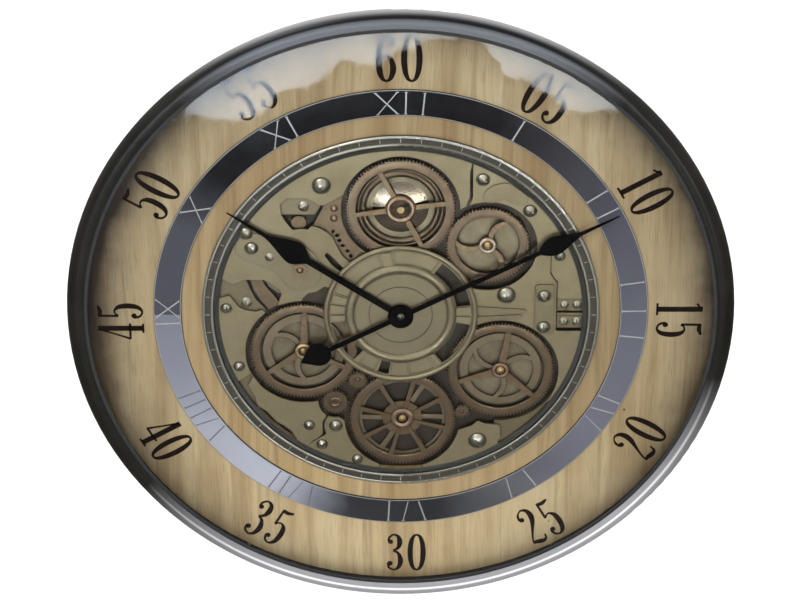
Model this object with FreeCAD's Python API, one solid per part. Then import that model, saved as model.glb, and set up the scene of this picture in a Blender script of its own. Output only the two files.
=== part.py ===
import FreeCAD, Part
import math
import os

# Round wall clock: a wooden dial with a window, in which a train of gears turns between bronze plates.
# The clock is laid out as it lies on its back on a bench: x to the right and y up across its face,
# z from the wall towards the viewer. Each finished piece is stood up when it is saved, so that the
# face looks along -Y and +Z is up. The origin is on the hands' axis, at the wall. Lengths are in mm.

# Across the face, from the rim inwards
case_radius = 300.0
bezel_width = 15.5
numeral_field = 61.5
band_width = 25.3
strip_width = 18.7
track_width = 14.0
gasket_width = 3.5
window_radius = case_radius - bezel_width - numeral_field - band_width - strip_width - track_width

# From the wall to the glass
cover_sheet = 1.5
rear_room = 17.5
chassis_sheet = 2.0
train_room = 21.0
base_sheet = 1.5
back_wheel_gap = 0.7
back_wheel_sheet = 1.5
layer_gap = 0.8
gear_sheet = 2.0
plate_gap = 0.3
plate_sheet = 1.4
board_lip = 6.5
board_thickness = 9.8
tray_sheet = 1.2
front_room = 8.0
glass_sheet = 3.0
bezel_crown = 1.6

# Fits and clearances
running_fit = 0.05
body_gap = 0.4
seat_gap = 0.3
edge_gap = 0.6
cut_overrun = 1.0

cover_top = cover_sheet
chassis_low = cover_top + rear_room
chassis_top = chassis_low + chassis_sheet
base_low = chassis_top + train_room
base_top = base_low + base_sheet
back_wheel_low = base_top + back_wheel_gap
back_wheel_top = back_wheel_low + back_wheel_sheet
gear_low = back_wheel_top + layer_gap
gear_top = gear_low + gear_sheet
plate_low = gear_top + plate_gap
plate_top = plate_low + plate_sheet
dial_face = base_top + board_lip
board_back = dial_face - board_thickness
tray_back = board_back - tray_sheet
glass_low = dial_face + front_room
glass_top = glass_low + glass_sheet

# The works are laid out on a reference circle. Places and outlines of the works are shares of its radius.
layout_share = 0.606
reference_teeth = 200
layout_radius = window_radius * layout_share
tooth_module = 2 * layout_radius / reference_teeth

origin = FreeCAD.Vector(0, 0, 0)
x_axis = FreeCAD.Vector(1, 0, 0)
z_axis = FreeCAD.Vector(0, 0, 1)


# Plain shapes
def point(x, y, z=0.0):
    return FreeCAD.Vector(x, y, z)


def turned(x, y, angle):
    c = math.cos(math.radians(angle))
    s = math.sin(math.radians(angle))
    return (x * c - y * s, x * s + y * c)


def at_angle(radius, angle):
    return turned(radius, 0, angle)


def at_layout(place_shares):
    return (place_shares[0] * layout_radius, place_shares[1] * layout_radius)


def disc(radius, low, high, centre=(0, 0)):
    return Part.makeCylinder(radius, high - low, point(centre[0], centre[1], low), z_axis)


def ring(outer, inner, low, high, centre=(0, 0)):
    hole = disc(inner, low - cut_overrun, high + cut_overrun, centre)
    return disc(outer, low, high, centre).cut(hole)


def sphere_cap(radius, rise, low, centre=(0, 0)):
    ball_radius = (radius * radius + rise * rise) / (2 * rise)
    ball_centre = point(centre[0], centre[1], low + rise - ball_radius)
    return Part.makeSphere(ball_radius, ball_centre).common(disc(radius, low, low + rise, centre))


def block(x_low, x_high, y_low, y_high, low, high):
    return Part.makeBox(x_high - x_low, y_high - y_low, high - low, point(x_low, y_low, low))


def extruded(wire, low, high):
    solid = Part.Face(wire).extrude(point(0, 0, high - low))
    solid.translate(point(0, 0, low))
    return solid


def polygon(points, low, high):
    corners = [point(x, y) for x, y in points]
    return extruded(Part.makePolygon(corners + corners[:1]), low, high)


# Outline whose corners are rounded, as far as the sides beside each corner leave room
def rounded_wire(points, radius):
    corners = [point(x, y) for x, y in points]
    edges = []
    ends = []
    for index, corner in enumerate(corners):
        before = corners[index - 1] - corner
        after = corners[(index + 1) % len(corners)] - corner
        half_turn = before.getAngle(after) / 2
        reach = radius / math.tan(half_turn)
        limit_share = 0.45
        reach = min(reach, before.Length * limit_share, after.Length * limit_share)
        before.normalize()
        after.normalize()
        middle = before + after
        if middle.Length * layout_radius < radius or reach < radius / reference_teeth:
            ends.append((corner, corner, corner))
            continue
        middle.normalize()
        arc_radius = reach * math.tan(half_turn)
        inward = arc_radius / math.sin(half_turn) - arc_radius
        ends.append((corner + before * reach, corner + middle * inward, corner + after * reach))
    for index, (start, middle, end) in enumerate(ends):
        if start.distanceToPoint(end) > 0:
            edges.append(Part.Arc(start, middle, end).toShape())
        edges.append(Part.LineSegment(end, ends[(index + 1) % len(ends)][0]).toShape())
    return Part.Wire(edges)


def rounded_plate(points, radius, low, high):
    return extruded(rounded_wire(points, radius), low, high)


# Plate of the works, cut out of an outline in shares of the layout radius
def layout_plate(outline_shares, low, high):
    return rounded_plate([at_layout(place) for place in outline_shares], plate_corner, low, high)


def rounded_block(width, height, corner, low, high, centre=(0, 0)):
    x = width / 2
    y = height / 2
    sides = [(centre[0] - x, centre[1] - y), (centre[0] + x, centre[1] - y),
             (centre[0] + x, centre[1] + y), (centre[0] - x, centre[1] + y)]
    return rounded_plate(sides, corner, low, high)


# Solid of revolution about the hands' axis from (radius, height) points; a middle point makes an arc
def turned_ring(profile):
    edges = []
    for index, entry in enumerate(profile):
        following = profile[(index + 1) % len(profile)]
        start = point(entry[0], 0, entry[1])
        end = point(following[0], 0, following[1])
        if len(entry) > 2:
            edges.append(Part.Arc(start, point(entry[2], 0, entry[3]), end).toShape())
        else:
            edges.append(Part.LineSegment(start, end).toShape())
    return Part.Face(Part.Wire(edges)).revolve(origin, z_axis, 360)


def joined(shapes):
    return shapes[0].multiFuse(shapes[1:]) if len(shapes) > 1 else shapes[0]


def group(shapes):
    return Part.makeCompound(shapes)


def moved(shape, centre, low=0.0):
    copy = shape.copy()
    copy.translate(point(centre[0], centre[1], low))
    return copy


def spun(shape, angle, centre=(0, 0)):
    copy = shape.copy()
    copy.rotate(point(centre[0], centre[1]), z_axis, angle)
    return copy


def save(name, shape):
    standing = shape.copy()
    standing.rotate(origin, x_axis, 90)
    standing.exportStep("parts/" + name + ".step")


# Gear train
top_teeth = 97
upper_right_teeth = 74
large_teeth = 97
left_idler_teeth = 18
lower_idler_teeth = 14
pinion_teeth = 24
lower_back_teeth = 80
upper_back_teeth = 56
transfer_teeth = 64

# Places of the gears' arbors, in shares of the layout radius
upper_right_place_shares = (0.775, 0.689)
lower_right_place_shares = (0.91, -0.596)
bottom_place_shares = (0.015, -1.106)
lower_left_place_shares = (-0.88, -0.396)

# Teeth, in shares of the module
tip_share = 0.80
root_share = 1.15
tip_width_share = 0.36
pitch_width_share = 1.20
root_width_share = 1.75
pinion_clear_share = 1.7


def pitch_radius(teeth):
    return teeth * tooth_module / 2


def mesh_distance(teeth, others):
    return pitch_radius(teeth) + pitch_radius(others)


# Place at two given distances from two centres, on the side where side is +1 or -1
def place_between(first, second, first_distance, second_distance, side):
    gap_x = second[0] - first[0]
    gap_y = second[1] - first[1]
    gap = math.hypot(gap_x, gap_y)
    along = (first_distance ** 2 - second_distance ** 2 + gap ** 2) / (2 * gap)
    across = side * math.sqrt(first_distance ** 2 - along ** 2)
    x = first[0] + (along * gap_x - across * gap_y) / gap
    y = first[1] + (along * gap_y + across * gap_x) / gap
    return (x, y)


bottom_centre = at_layout(bottom_place_shares)
lower_right_centre = at_layout(lower_right_place_shares)
lower_left_centre = at_layout(lower_left_place_shares)
upper_right_centre = at_layout(upper_right_place_shares)
top_drop = mesh_distance(top_teeth, upper_right_teeth)
top_centre = (0, upper_right_centre[1] + math.sqrt(top_drop ** 2 - upper_right_centre[0] ** 2))
left_idler_reach = mesh_distance(large_teeth, left_idler_teeth)
left_idler_centre = place_between(bottom_centre, lower_left_centre, left_idler_reach, left_idler_reach, -1)
lower_idler_reach = mesh_distance(large_teeth, lower_idler_teeth)
lower_idler_centre = place_between(bottom_centre, lower_right_centre,
                                   lower_idler_reach, lower_idler_reach, -1)
pinion_reach = mesh_distance(large_teeth, pinion_teeth)
pinion_clear = pinion_reach + (2 * tip_share + pinion_clear_share) * tooth_module
pinion_centre = place_between(bottom_centre, lower_left_centre, pinion_clear, pinion_reach, 1)
transfer_centre = place_between(lower_right_centre, upper_right_centre,
                                mesh_distance(lower_back_teeth, transfer_teeth),
                                mesh_distance(upper_back_teeth, transfer_teeth), 1)


# Angle of a tooth of the second gear, so that it meshes with a first gear that has a tooth at phase
def meshed_phase(first, first_teeth, phase, second, second_teeth):
    towards = math.degrees(math.atan2(second[1] - first[1], second[0] - first[0]))
    first_step = 360 / first_teeth
    second_step = 360 / second_teeth
    first_part = (towards - phase) / first_step
    return towards + 180 - second_step * (0.5 - first_part)


bottom_phase = 0.0
left_idler_phase = meshed_phase(bottom_centre, large_teeth, bottom_phase, left_idler_centre, left_idler_teeth)
lower_left_phase = meshed_phase(left_idler_centre, left_idler_teeth, left_idler_phase,
                                lower_left_centre, large_teeth)
pinion_phase = meshed_phase(lower_left_centre, large_teeth, lower_left_phase, pinion_centre, pinion_teeth)
lower_idler_phase = meshed_phase(bottom_centre, large_teeth, bottom_phase,
                                 lower_idler_centre, lower_idler_teeth)
lower_right_phase = meshed_phase(lower_idler_centre, lower_idler_teeth, lower_idler_phase,
                                 lower_right_centre, large_teeth)
transfer_phase = meshed_phase(lower_right_centre, lower_back_teeth, 0, transfer_centre, transfer_teeth)
upper_back_phase = meshed_phase(transfer_centre, transfer_teeth, transfer_phase,
                                upper_right_centre, upper_back_teeth)
top_phase = meshed_phase(upper_right_centre, upper_right_teeth, 0, top_centre, top_teeth)

# Gears, arbors and bushes
arbor_radius = 2.0
arbor_head = 2.6
bush_radius = 4.5
bush_flange = 7.0
bush_length = 9.5
bush_rise = 0.5
rim_width = 8.5
rim_bead = 0.6
spoke_sheet = 1.4
hub_radius = 5.5
back_gear_drop = 2.6
back_hole_count = 5
back_hole_share = 0.8
window_gap = 4.5
small_window_gap = 7.4
window_edge = pitch_radius(large_teeth) + window_gap
small_window_edge = pitch_radius(upper_right_teeth) + small_window_gap


# Ring of straight-sided teeth
def toothed_wire(teeth, phase):
    pitch = pitch_radius(teeth)
    tip = pitch + tip_share * tooth_module
    root = pitch - root_share * tooth_module
    step = 360 / teeth
    corners = []
    for index in range(teeth):
        middle = phase + index * step
        flank_shares = ((root, -root_width_share), (pitch, -pitch_width_share), (tip, -tip_width_share),
                        (tip, tip_width_share), (pitch, pitch_width_share), (root, root_width_share))
        for radius, width_share in flank_shares:
            half_angle = math.degrees(width_share * tooth_module / 2 / radius)
            x, y = at_angle(radius, middle + half_angle)
            corners.append(point(x, y))
    return Part.makePolygon(corners + corners[:1])


def toothed_disc(teeth, phase, low, high):
    return extruded(toothed_wire(teeth, phase), low, high)


def toothed_ring(teeth, phase, inner, low, high):
    return toothed_disc(teeth, phase, low, high).cut(disc(inner, low - cut_overrun, high + cut_overrun))


# Straight spoke from the hub to the rim, wider at the hub by taper
def straight_spoke(start, end, width, taper, angle, low, high):
    sides = [(start, -width / 2 - taper), (end, -width / 2), (end, width / 2), (start, width / 2 + taper)]
    return polygon([turned(x, y, angle) for x, y in sides], low, high)


# Spoke that bows to one side between two arcs
def bowed_spoke(start, end, bow, width, angle, low, high):
    half = width / 2
    middle = (start + end) / 2

    def place(x, y):
        px, py = turned(x, y, angle)
        return point(px, py)

    outer = Part.Arc(place(start, half), place(middle, bow + half), place(end, half))
    inner = Part.Arc(place(end, -half), place(middle, bow - half), place(start, -half))
    edges = [outer.toShape(), Part.LineSegment(place(end, half), place(end, -half)).toShape(),
             inner.toShape(), Part.LineSegment(place(start, -half), place(start, half)).toShape()]
    return extruded(Part.Wire(edges), low, high)


# Rim with teeth and a raised bead, as all visible gears have
def gear_rim(teeth, phase, width):
    pitch = pitch_radius(teeth)
    inner = pitch - width
    bead_outer = pitch - 2 * tooth_module
    bead = turned_ring([(inner, gear_low), (bead_outer, gear_low), (bead_outer, gear_top),
                        (bead_outer - rim_bead, gear_top + rim_bead / 2),
                        (inner + rim_bead, gear_top + rim_bead / 2), (inner, gear_top)])
    return toothed_ring(teeth, phase, inner, gear_low, gear_top).fuse(bead)


def arbor(low, high):
    return disc(arbor_radius, low, high)


def hub_ring(outer, inner, low, rise):
    middle = (outer + inner) / 2
    return turned_ring([(inner, low), (outer, low), (outer, low + rise / 2, middle, low + rise),
                        (inner, low + rise / 2)])


arbor_low = base_top - bush_length - back_gear_drop

# Places of the rounded spots behind the spokes, the dome and the hubs of the gears
dome_radius = 25.0
dome_rise = 4.2
dome_ring_outer = 38.5
dome_ring_inner = 30.5
back_rim_inset = 11.5
back_rim_width = 7.0
back_rim_outer = pitch_radius(large_teeth) - back_rim_inset
back_rim_inner = back_rim_outer - back_rim_width
bow_depth = 6.0
top_hub_outer = 13.5
top_hub_inner = 8.5
top_hub_rise = 3.0
small_hub_outer = 7.8
small_hub_inner = 4.6
bottom_hub_plate = 18.0
bottom_hub_outer = 10.5
bottom_hub_inner = 5.2
spoke_width = 4.6
spoke_taper = 1.1
top_spoke_angles = (8, 117, 188, 297)
upper_right_spoke_angles = (50, 172, 292)
lower_right_spoke_angles = (80, 198, 318)
lower_left_spoke_angles = (88, 215, 335)
lower_right_back_angles = (20, 140, 260)
lower_left_back_angles = (30, 150, 270)
bottom_spoke_count = 8
bottom_spoke_start = 30
back_spoke_count = 6

gear_bore = arbor_radius + running_fit


def top_gear():
    inner = pitch_radius(top_teeth) - rim_width
    reach = inner + rim_bead
    spokes = [straight_spoke(top_hub_inner + rim_bead, reach, spoke_width, 0, angle,
                             gear_top - spoke_sheet, gear_top) for angle in top_spoke_angles]
    hub = disc(top_hub_inner + rim_bead, gear_top - spoke_sheet, gear_top)
    collar = hub_ring(top_hub_outer, top_hub_inner, gear_top - spoke_sheet, top_hub_rise)
    pin = disc(arbor_head + rim_bead, gear_top, gear_top + top_hub_rise / 2)
    rim = gear_rim(top_teeth, top_phase, rim_width)
    return moved(joined([rim, hub, collar, pin, arbor(arbor_low, gear_top)] + spokes), top_centre)


def upper_right_gear():
    teeth = upper_right_teeth
    inner = pitch_radius(teeth) - rim_width
    spokes = [bowed_spoke(small_hub_inner, inner + rim_bead, bow_depth, spoke_width, angle,
                          gear_top - spoke_sheet, gear_top) for angle in upper_right_spoke_angles]
    hub = disc(small_hub_outer, gear_top - spoke_sheet, gear_top)
    collar = hub_ring(small_hub_outer, small_hub_inner, gear_top, top_hub_rise / 2)
    pin = sphere_cap(arbor_head + rim_bead, rim_bead * 2, gear_top)
    rim = gear_rim(teeth, 0, rim_width)
    return moved(joined([rim, hub, collar, pin, arbor(arbor_low, gear_top)] + spokes), upper_right_centre)


def lower_right_gear():
    inner = pitch_radius(large_teeth) - rim_width
    spokes = [straight_spoke(small_hub_inner, inner + rim_bead, spoke_width, spoke_taper, angle,
                             gear_top - spoke_sheet, gear_top) for angle in lower_right_spoke_angles]
    hub = disc(small_hub_outer, gear_top - spoke_sheet, gear_top)
    collar = hub_ring(small_hub_outer, small_hub_inner, gear_top, top_hub_rise / 2)
    pin = sphere_cap(arbor_head + rim_bead, rim_bead * 2, gear_top)
    rim = gear_rim(large_teeth, lower_right_phase, rim_width)
    return moved(joined([rim, hub, collar, pin, arbor(arbor_low, gear_top)] + spokes), lower_right_centre)


def lower_left_gear():
    inner = pitch_radius(large_teeth) - rim_width
    spokes = [straight_spoke(small_hub_inner, inner + rim_bead, spoke_width, spoke_taper, angle,
                             gear_top - spoke_sheet, gear_top) for angle in lower_left_spoke_angles]
    hub = disc(small_hub_outer, gear_top - spoke_sheet, gear_top)
    collar = hub_ring(small_hub_outer, small_hub_inner, gear_top, top_hub_rise / 2)
    pin = sphere_cap(arbor_head + rim_bead, rim_bead * 2, gear_top)
    rim = gear_rim(large_teeth, lower_left_phase, rim_width)
    shaft = arbor(base_low - bush_rise - seat_gap, gear_top)
    return moved(joined([rim, hub, collar, pin, shaft] + spokes), lower_left_centre)


def bottom_gear():
    inner = pitch_radius(large_teeth) - rim_width
    step = 360 / bottom_spoke_count
    spokes = [straight_spoke(bottom_hub_inner, inner + rim_bead, spoke_width, -spoke_taper,
                             bottom_spoke_start + index * step, gear_top - spoke_sheet, gear_top)
              for index in range(bottom_spoke_count)]
    hub = disc(bottom_hub_plate, gear_top - spoke_sheet, gear_top - spoke_sheet / 2)
    core = disc(bottom_hub_outer, gear_top - spoke_sheet, gear_top)
    collar = hub_ring(bottom_hub_outer, bottom_hub_inner, gear_top, top_hub_rise / 2)
    pin = sphere_cap(arbor_head + rim_bead, rim_bead * 2, gear_top)
    rim = gear_rim(large_teeth, bottom_phase, rim_width)
    return moved(joined([rim, hub, core, collar, pin, arbor(arbor_low, gear_top)] + spokes), bottom_centre)


# Second wheel behind a gear, pressed on the same arbor
def back_wheel(outer, inner, angles, bow, centre):
    rim = ring(outer, inner, back_wheel_low, back_wheel_top)
    hub = disc(hub_radius, back_wheel_low, gear_top - spoke_sheet)
    spokes = [bowed_spoke(arbor_head, inner + rim_bead, bow, spoke_width, angle,
                          back_wheel_low, back_wheel_top) for angle in angles]
    bore = disc(arbor_radius, back_wheel_low - cut_overrun, gear_top)
    return moved(joined([rim, hub] + spokes).cut(bore), centre)


def bottom_back_wheel():
    step = 360 / back_spoke_count
    angles = [index * step for index in range(back_spoke_count)]
    return back_wheel(back_rim_outer + rim_width / 2, back_rim_outer, angles, rim_bead, bottom_centre)


def lower_right_back_wheel():
    return back_wheel(back_rim_outer, back_rim_inner, lower_right_back_angles, bow_depth, lower_right_centre)


def lower_left_back_wheel():
    inner = back_rim_inner - rim_bead
    return back_wheel(back_rim_outer, inner, lower_left_back_angles, -bow_depth, lower_left_centre)


# Small idler pinion on its own arbor
def idler(teeth, phase, centre, boss):
    wheel = toothed_disc(teeth, phase, gear_low, gear_top)
    cap = hub_ring(boss, arbor_radius, gear_top, rim_bead)
    head = sphere_cap(arbor_radius, rim_bead, gear_top)
    return moved(joined([wheel, cap, head, arbor(base_low - bush_rise - seat_gap, gear_top)]), centre)


def left_idler():
    return idler(left_idler_teeth, left_idler_phase, left_idler_centre, hub_radius)


def lower_idler():
    return idler(lower_idler_teeth, lower_idler_phase, lower_idler_centre, small_hub_inner)


# Gears on the back of the base plate, pressed on the arbors that come through
def back_gear(teeth, phase, centre):
    low = arbor_low
    high = low + gear_sheet
    web = toothed_disc(teeth, phase, low, high)
    reach = pitch_radius(teeth) - rim_width / 2
    hole_place = (reach + hub_radius) / 2
    hole_radius = hole_place * math.sin(math.pi / back_hole_count)
    holes = []
    for index in range(back_hole_count):
        x, y = at_angle(hole_place, index * 360 / back_hole_count)
        holes.append(disc(hole_radius * back_hole_share, low - cut_overrun, high + cut_overrun, (x, y)))
    bore = disc(arbor_radius, low - cut_overrun, high + cut_overrun)
    return moved(web.cut(group(holes)).cut(bore), centre)


def lower_right_back_gear():
    return back_gear(lower_back_teeth, 0, lower_right_centre)


def upper_right_back_gear():
    return back_gear(upper_back_teeth, upper_back_phase, upper_right_centre)


def transfer_gear():
    wheel = back_gear(transfer_teeth, transfer_phase, (0, 0))
    return moved(joined([wheel, arbor(arbor_low, base_top)]), transfer_centre)


def drive_pinion():
    wheel = toothed_disc(pinion_teeth, pinion_phase, gear_low, gear_top)
    cap = hub_ring(hub_radius, arbor_radius, gear_top, rim_bead * 2)
    return moved(joined([wheel, cap, arbor(motor_top - seat_gap, gear_top + rim_bead)]), pinion_centre)


# Bushes pressed in the base plate
def bush(centre, length):
    body = disc(bush_radius, base_top - length, base_top + bush_rise / 2)
    flange = disc(bush_flange, base_low - bush_rise, base_low)
    bore = disc(gear_bore, base_top - length - cut_overrun, base_top + cut_overrun)
    return moved(body.fuse(flange).cut(bore), centre)


long_bush_centres = [top_centre, upper_right_centre, lower_right_centre, bottom_centre, transfer_centre]
short_bush_centres = [lower_left_centre, left_idler_centre, lower_idler_centre]


def arbor_bushes():
    short_length = base_sheet + bush_rise
    return group([bush(centre, bush_length) for centre in long_bush_centres]
                 + [bush(centre, short_length) for centre in short_bush_centres])


# Plates of the works, with outlines in shares of the layout radius
plate_corner = 2.2
ring_width = 4.5
centre_ring_outer = 69.5
ring_seat = 3.0
plates_inner = centre_ring_outer - ring_seat
raised_sheet = 0.9
sunk_drop = 0.5
sunk_top = plate_low - sunk_drop
plates_outer = window_radius - edge_gap
raised_outer = window_radius - 3 * edge_gap
idler_window = 11.5
pinion_window = 15.5

top_plate_shares = [
    (-1.72, 0.365), (-1.72, 1.72), (0.625, 1.72), (0.625, 1.49), (0.61, 1.43), (0.61, 1.18), (0.59, 1.13),
    (0.575, 1.06), (0.20, 1.06), (-0.45, 1.10), (-0.50, 1.21), (-0.62, 1.135), (-0.69, 1.10), (-0.73, 1.105),
    (-0.80, 1.155), (-0.84, 1.17), (-1.01, 1.17), (-1.07, 1.105), (-1.06, 1.00), (-1.04, 0.965),
    (-1.00, 0.905), (-0.96, 0.855), (-0.88, 0.865), (-0.82, 0.855), (-0.79, 0.895), (-0.72, 0.875),
    (-0.66, 0.835), (-0.61, 0.785), (-0.57, 0.695), (-0.52, 0.595), (-0.44, 0.515), (-0.30, 0.40),
    (-0.50, 0.20), (-0.68, 0.285), (-0.76, 0.23), (-0.83, 0.215), (-0.88, 0.165), (-0.91, 0.085),
    (-0.92, 0.01), (-0.98, 0.0), (-0.99, -0.045), (-1.01, -0.09), (-1.05, -0.095), (-1.10, -0.045),
    (-1.10, 0.115), (-1.07, 0.195), (-1.08, 0.245), (-1.19, 0.335), (-1.23, 0.35), (-1.41, 0.35),
    (-1.46, 0.325), (-1.50, 0.305), (-1.55, 0.325), (-1.58, 0.355)]
top_slit_shares = [
    (-0.68, 0.59), (-0.66, 0.635), (-0.60, 0.575), (-0.50, 0.455), (-0.55, 0.435), (-0.62, 0.51)]
upper_left_cock_shares = [
    (-1.41, 0.575), (-1.30, 0.525), (-1.18, 0.475), (-1.10, 0.425), (-1.05, 0.355), (-1.01, 0.295),
    (-0.93, 0.26), (-0.86, 0.26), (-0.78, 0.295), (-0.73, 0.355), (-0.71, 0.435), (-0.72, 0.525),
    (-0.77, 0.615), (-0.84, 0.685), (-1.00, 0.755), (-1.20, 0.80), (-1.34, 0.83), (-1.41, 0.81),
    (-1.46, 0.735), (-1.47, 0.64)]
left_plate_shares = [
    (-1.72, 0.16), (-1.62, 0.165), (-1.54, 0.19), (-1.51, 0.145), (-1.46, 0.075), (-1.40, 0.04),
    (-1.30, 0.025), (-1.25, 0.045), (-1.21, 0.005), (-1.00, -0.39), (-1.28, -0.56), (-1.36, -0.615),
    (-1.47, -0.695), (-1.52, -0.725), (-1.72, -0.725)]
lower_left_plate_shares = [
    (-1.34, -0.645), (-1.39, -0.745), (-1.33, -0.865), (-1.31, -0.965), (-1.23, -1.015), (-1.14, -1.135),
    (-1.07, -1.175), (-1.00, -1.235), (-0.96, -1.315), (-0.93, -1.385), (-0.86, -1.415), (-0.82, -1.345),
    (-0.76, -1.305), (-0.72, -1.265), (-0.72, -1.135), (-0.68, -1.065), (-0.72, -0.995), (-0.76, -0.915),
    (-0.74, -0.855), (-0.88, -0.395)]
bottom_left_plate_shares = [
    (-0.68, -1.265), (-0.76, -1.315), (-0.83, -1.365), (-0.86, -1.435), (-0.86, -1.72), (-0.20, -1.72),
    (-0.20, -1.60), (-0.30, -1.30), (-0.51, -1.125), (-0.57, -1.08), (-0.66, -1.065), (-0.69, -1.115),
    (-0.70, -1.18), (-0.69, -1.25)]
lower_right_plate_shares = [
    (0.52, -1.225), (0.57, -1.21), (0.66, -1.175), (0.71, -1.12), (0.77, -1.155), (0.91, -1.165),
    (0.92, -1.305), (0.89, -1.345), (0.91, -1.385), (1.00, -1.415), (0.95, -1.72), (0.20, -1.72),
    (0.20, -1.60), (0.30, -1.30)]
right_plate_shares = [
    (0.40, -0.40), (0.40, 0.52), (1.10, 0.52), (1.22, 0.62), (1.34, 0.62), (1.34, 0.415), (1.37, 0.365),
    (1.40, 0.325), (1.40, -0.175), (1.72, -0.175), (1.72, -0.75), (1.50, -0.805), (1.38, -0.885),
    (1.30, -0.955), (1.10, -0.60), (0.91, -0.60)]
upper_right_plate_shares = [
    (0.64, 1.72), (0.64, 1.175), (0.615, 1.115), (0.59, 1.045), (0.775, 0.68), (1.19, 0.635),
    (1.348, 0.635), (1.348, 0.42), (1.378, 0.37), (1.41, 0.335), (1.408, 0.16), (1.72, 0.16), (1.72, 1.72)]
island_shares = [
    (0.735, 1.145), (0.735, 1.205), (0.76, 1.255), (0.82, 1.30), (0.90, 1.32), (0.99, 1.32), (1.20, 1.35),
    (1.26, 1.27), (1.125, 1.205), (1.115, 1.115), (1.05, 1.105), (1.00, 1.12), (0.955, 1.15), (0.91, 1.17),
    (0.80, 1.12)]
right_bracket_shares = [
    (1.21, 0.29), (1.235, 0.305), (1.38, 0.305), (1.38, -0.18), (1.35, -0.195), (1.21, -0.175)]
slot_piece_shares = [
    (-1.12, 1.00), (-0.76, 1.00), (-0.71, 1.085), (-0.73, 1.16), (-0.80, 1.21), (-1.05, 1.22), (-1.13, 1.16)]
left_middle_shares = [
    (-1.70, 0.42), (-1.42, 0.42), (-1.31, 0.15), (-1.22, 0.04), (-1.22, -0.02), (-1.40, -0.02),
    (-1.52, 0.09), (-1.70, 0.14)]
left_inner_shares = [(-1.25, 0.40), (-1.10, 0.38), (-1.04, 0.24), (-1.09, 0.20), (-1.18, 0.27)]
lower_right_floor_shares = [
    (0.86, -1.10), (1.00, -1.09), (1.20, -1.00), (1.32, -0.92), (1.45, -0.80), (1.60, -0.70), (1.20, -1.30),
    (0.86, -1.45)]
lower_left_floor_shares = [(-1.60, -0.69), (-1.36, -0.60), (-1.28, -0.74), (-1.30, -0.98), (-1.45, -1.00)]
rivet_strap_shares = [
    (-0.80, 0.84), (-0.74, 0.965), (-0.685, 1.07), (-0.69, 1.13), (-0.55, 1.23), (-0.40, 1.20),
    (-0.30, 0.60), (-0.40, 0.50), (-0.52, 0.56), (-0.62, 0.74), (-0.70, 0.83)]
curved_lever_shares = [
    (-1.36, 0.40), (-1.26, 0.40), (-1.22, 0.29), (-1.14, 0.18), (-1.09, 0.10), (-1.11, 0.04), (-1.17, 0.02),
    (-1.25, 0.12), (-1.32, 0.24)]


def window_cut(radius, centre):
    return disc(radius, base_top, plate_top + raised_sheet + cut_overrun, centre)


gear_windows = joined([window_cut(radius, centre) for radius, centre in (
    (window_edge, top_centre), (small_window_edge, upper_right_centre), (window_edge, lower_right_centre),
    (window_edge, bottom_centre), (window_edge, lower_left_centre), (idler_window, left_idler_centre),
    (idler_window, lower_idler_centre), (pinion_window, pinion_centre), (plates_inner, (0, 0)))])


def works_piece(outline_shares, low, high):
    cut = layout_plate(outline_shares, low, high).cut(gear_windows)
    return cut.common(disc(plates_outer, low, high))


def bronze_plate(outline_shares):
    return works_piece(outline_shares, plate_low, plate_top).cut(screw_bores)


def raised_piece(outline_shares):
    piece = works_piece(outline_shares, plate_top, plate_top + raised_sheet)
    return piece.common(disc(raised_outer, plate_top, plate_top + raised_sheet)).cut(screw_bores)


# Piece that lies on the base plate, with room round the plates' sleeves
def sunk_piece(outline_shares):
    return works_piece(outline_shares, base_top, sunk_top).cut(screw_bores).cut(sleeve_room)


# Screws: place in shares, radius of the head, and the level that the head sits on
large_head = 7.2
medium_head = 5.0
small_head = 4.0
head_rise_share = 0.42
shank_radius = 1.5
post_radius = 3.4
rivet_head = 3.4
slot_width = 1.1
slot_depth = 0.9
slot_turn = 70.0
large_screw_shares = [(-0.70, 1.295), (0.95, 0.195), (0.71, -1.335)]
medium_plate_shares = [
    (0.725, 1.355), (1.145, 1.045), (-0.595, -1.175), (-1.33, 0.675), (-1.375, 0.825)]
small_plate_shares = [
    (-0.84, -1.17), (-0.725, -1.375), (-1.47, -0.545), (-0.40, -1.535), (-1.57, 0.06), (-1.17, 0.585),
    (1.42, 0.595)]
medium_bracket_shares = [(1.29, 0.19), (1.29, -0.13)]
medium_sunk_shares = [(-0.86, 1.08), (-1.39, 0.11)]
strap_screw_shares = [(1.475, 0.085), (1.59, 0.085), (1.475, -0.085), (1.59, -0.085)]
rivet_shares = [(-0.59, 1.06), (-0.59, 0.96)]
brass_pin_shares = (-0.90, 0.455)
strap_hole_shares = [(-0.60, 0.83), (-0.565, 0.79), (-0.545, 0.74), (-0.515, 0.69), (-0.475, 0.635),
                     (-0.455, 0.85), (-0.445, 0.585)]
strap_hole_radius = 1.8

cock_screw_shares = [(-1.33, 0.675), (-1.375, 0.825), (-1.17, 0.585)]


def head_level(place):
    if place in medium_bracket_shares or place in cock_screw_shares:
        return plate_top + raised_sheet
    if place in medium_sunk_shares or place in strap_screw_shares:
        return sunk_top
    return plate_top


def screw(place, head):
    centre = at_layout(place)
    level = head_level(place)
    rise = head * head_rise_share
    dome = sphere_cap(head, rise, level, centre)
    slot = block(-head, head, -slot_width / 2, slot_width / 2, 0, slot_depth)
    turned_slot = moved(spun(slot, slot_turn * (place[0] + place[1])), centre, level + rise - slot_depth)
    return dome.fuse(disc(shank_radius, base_low, level, centre)).cut(turned_slot)


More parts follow.
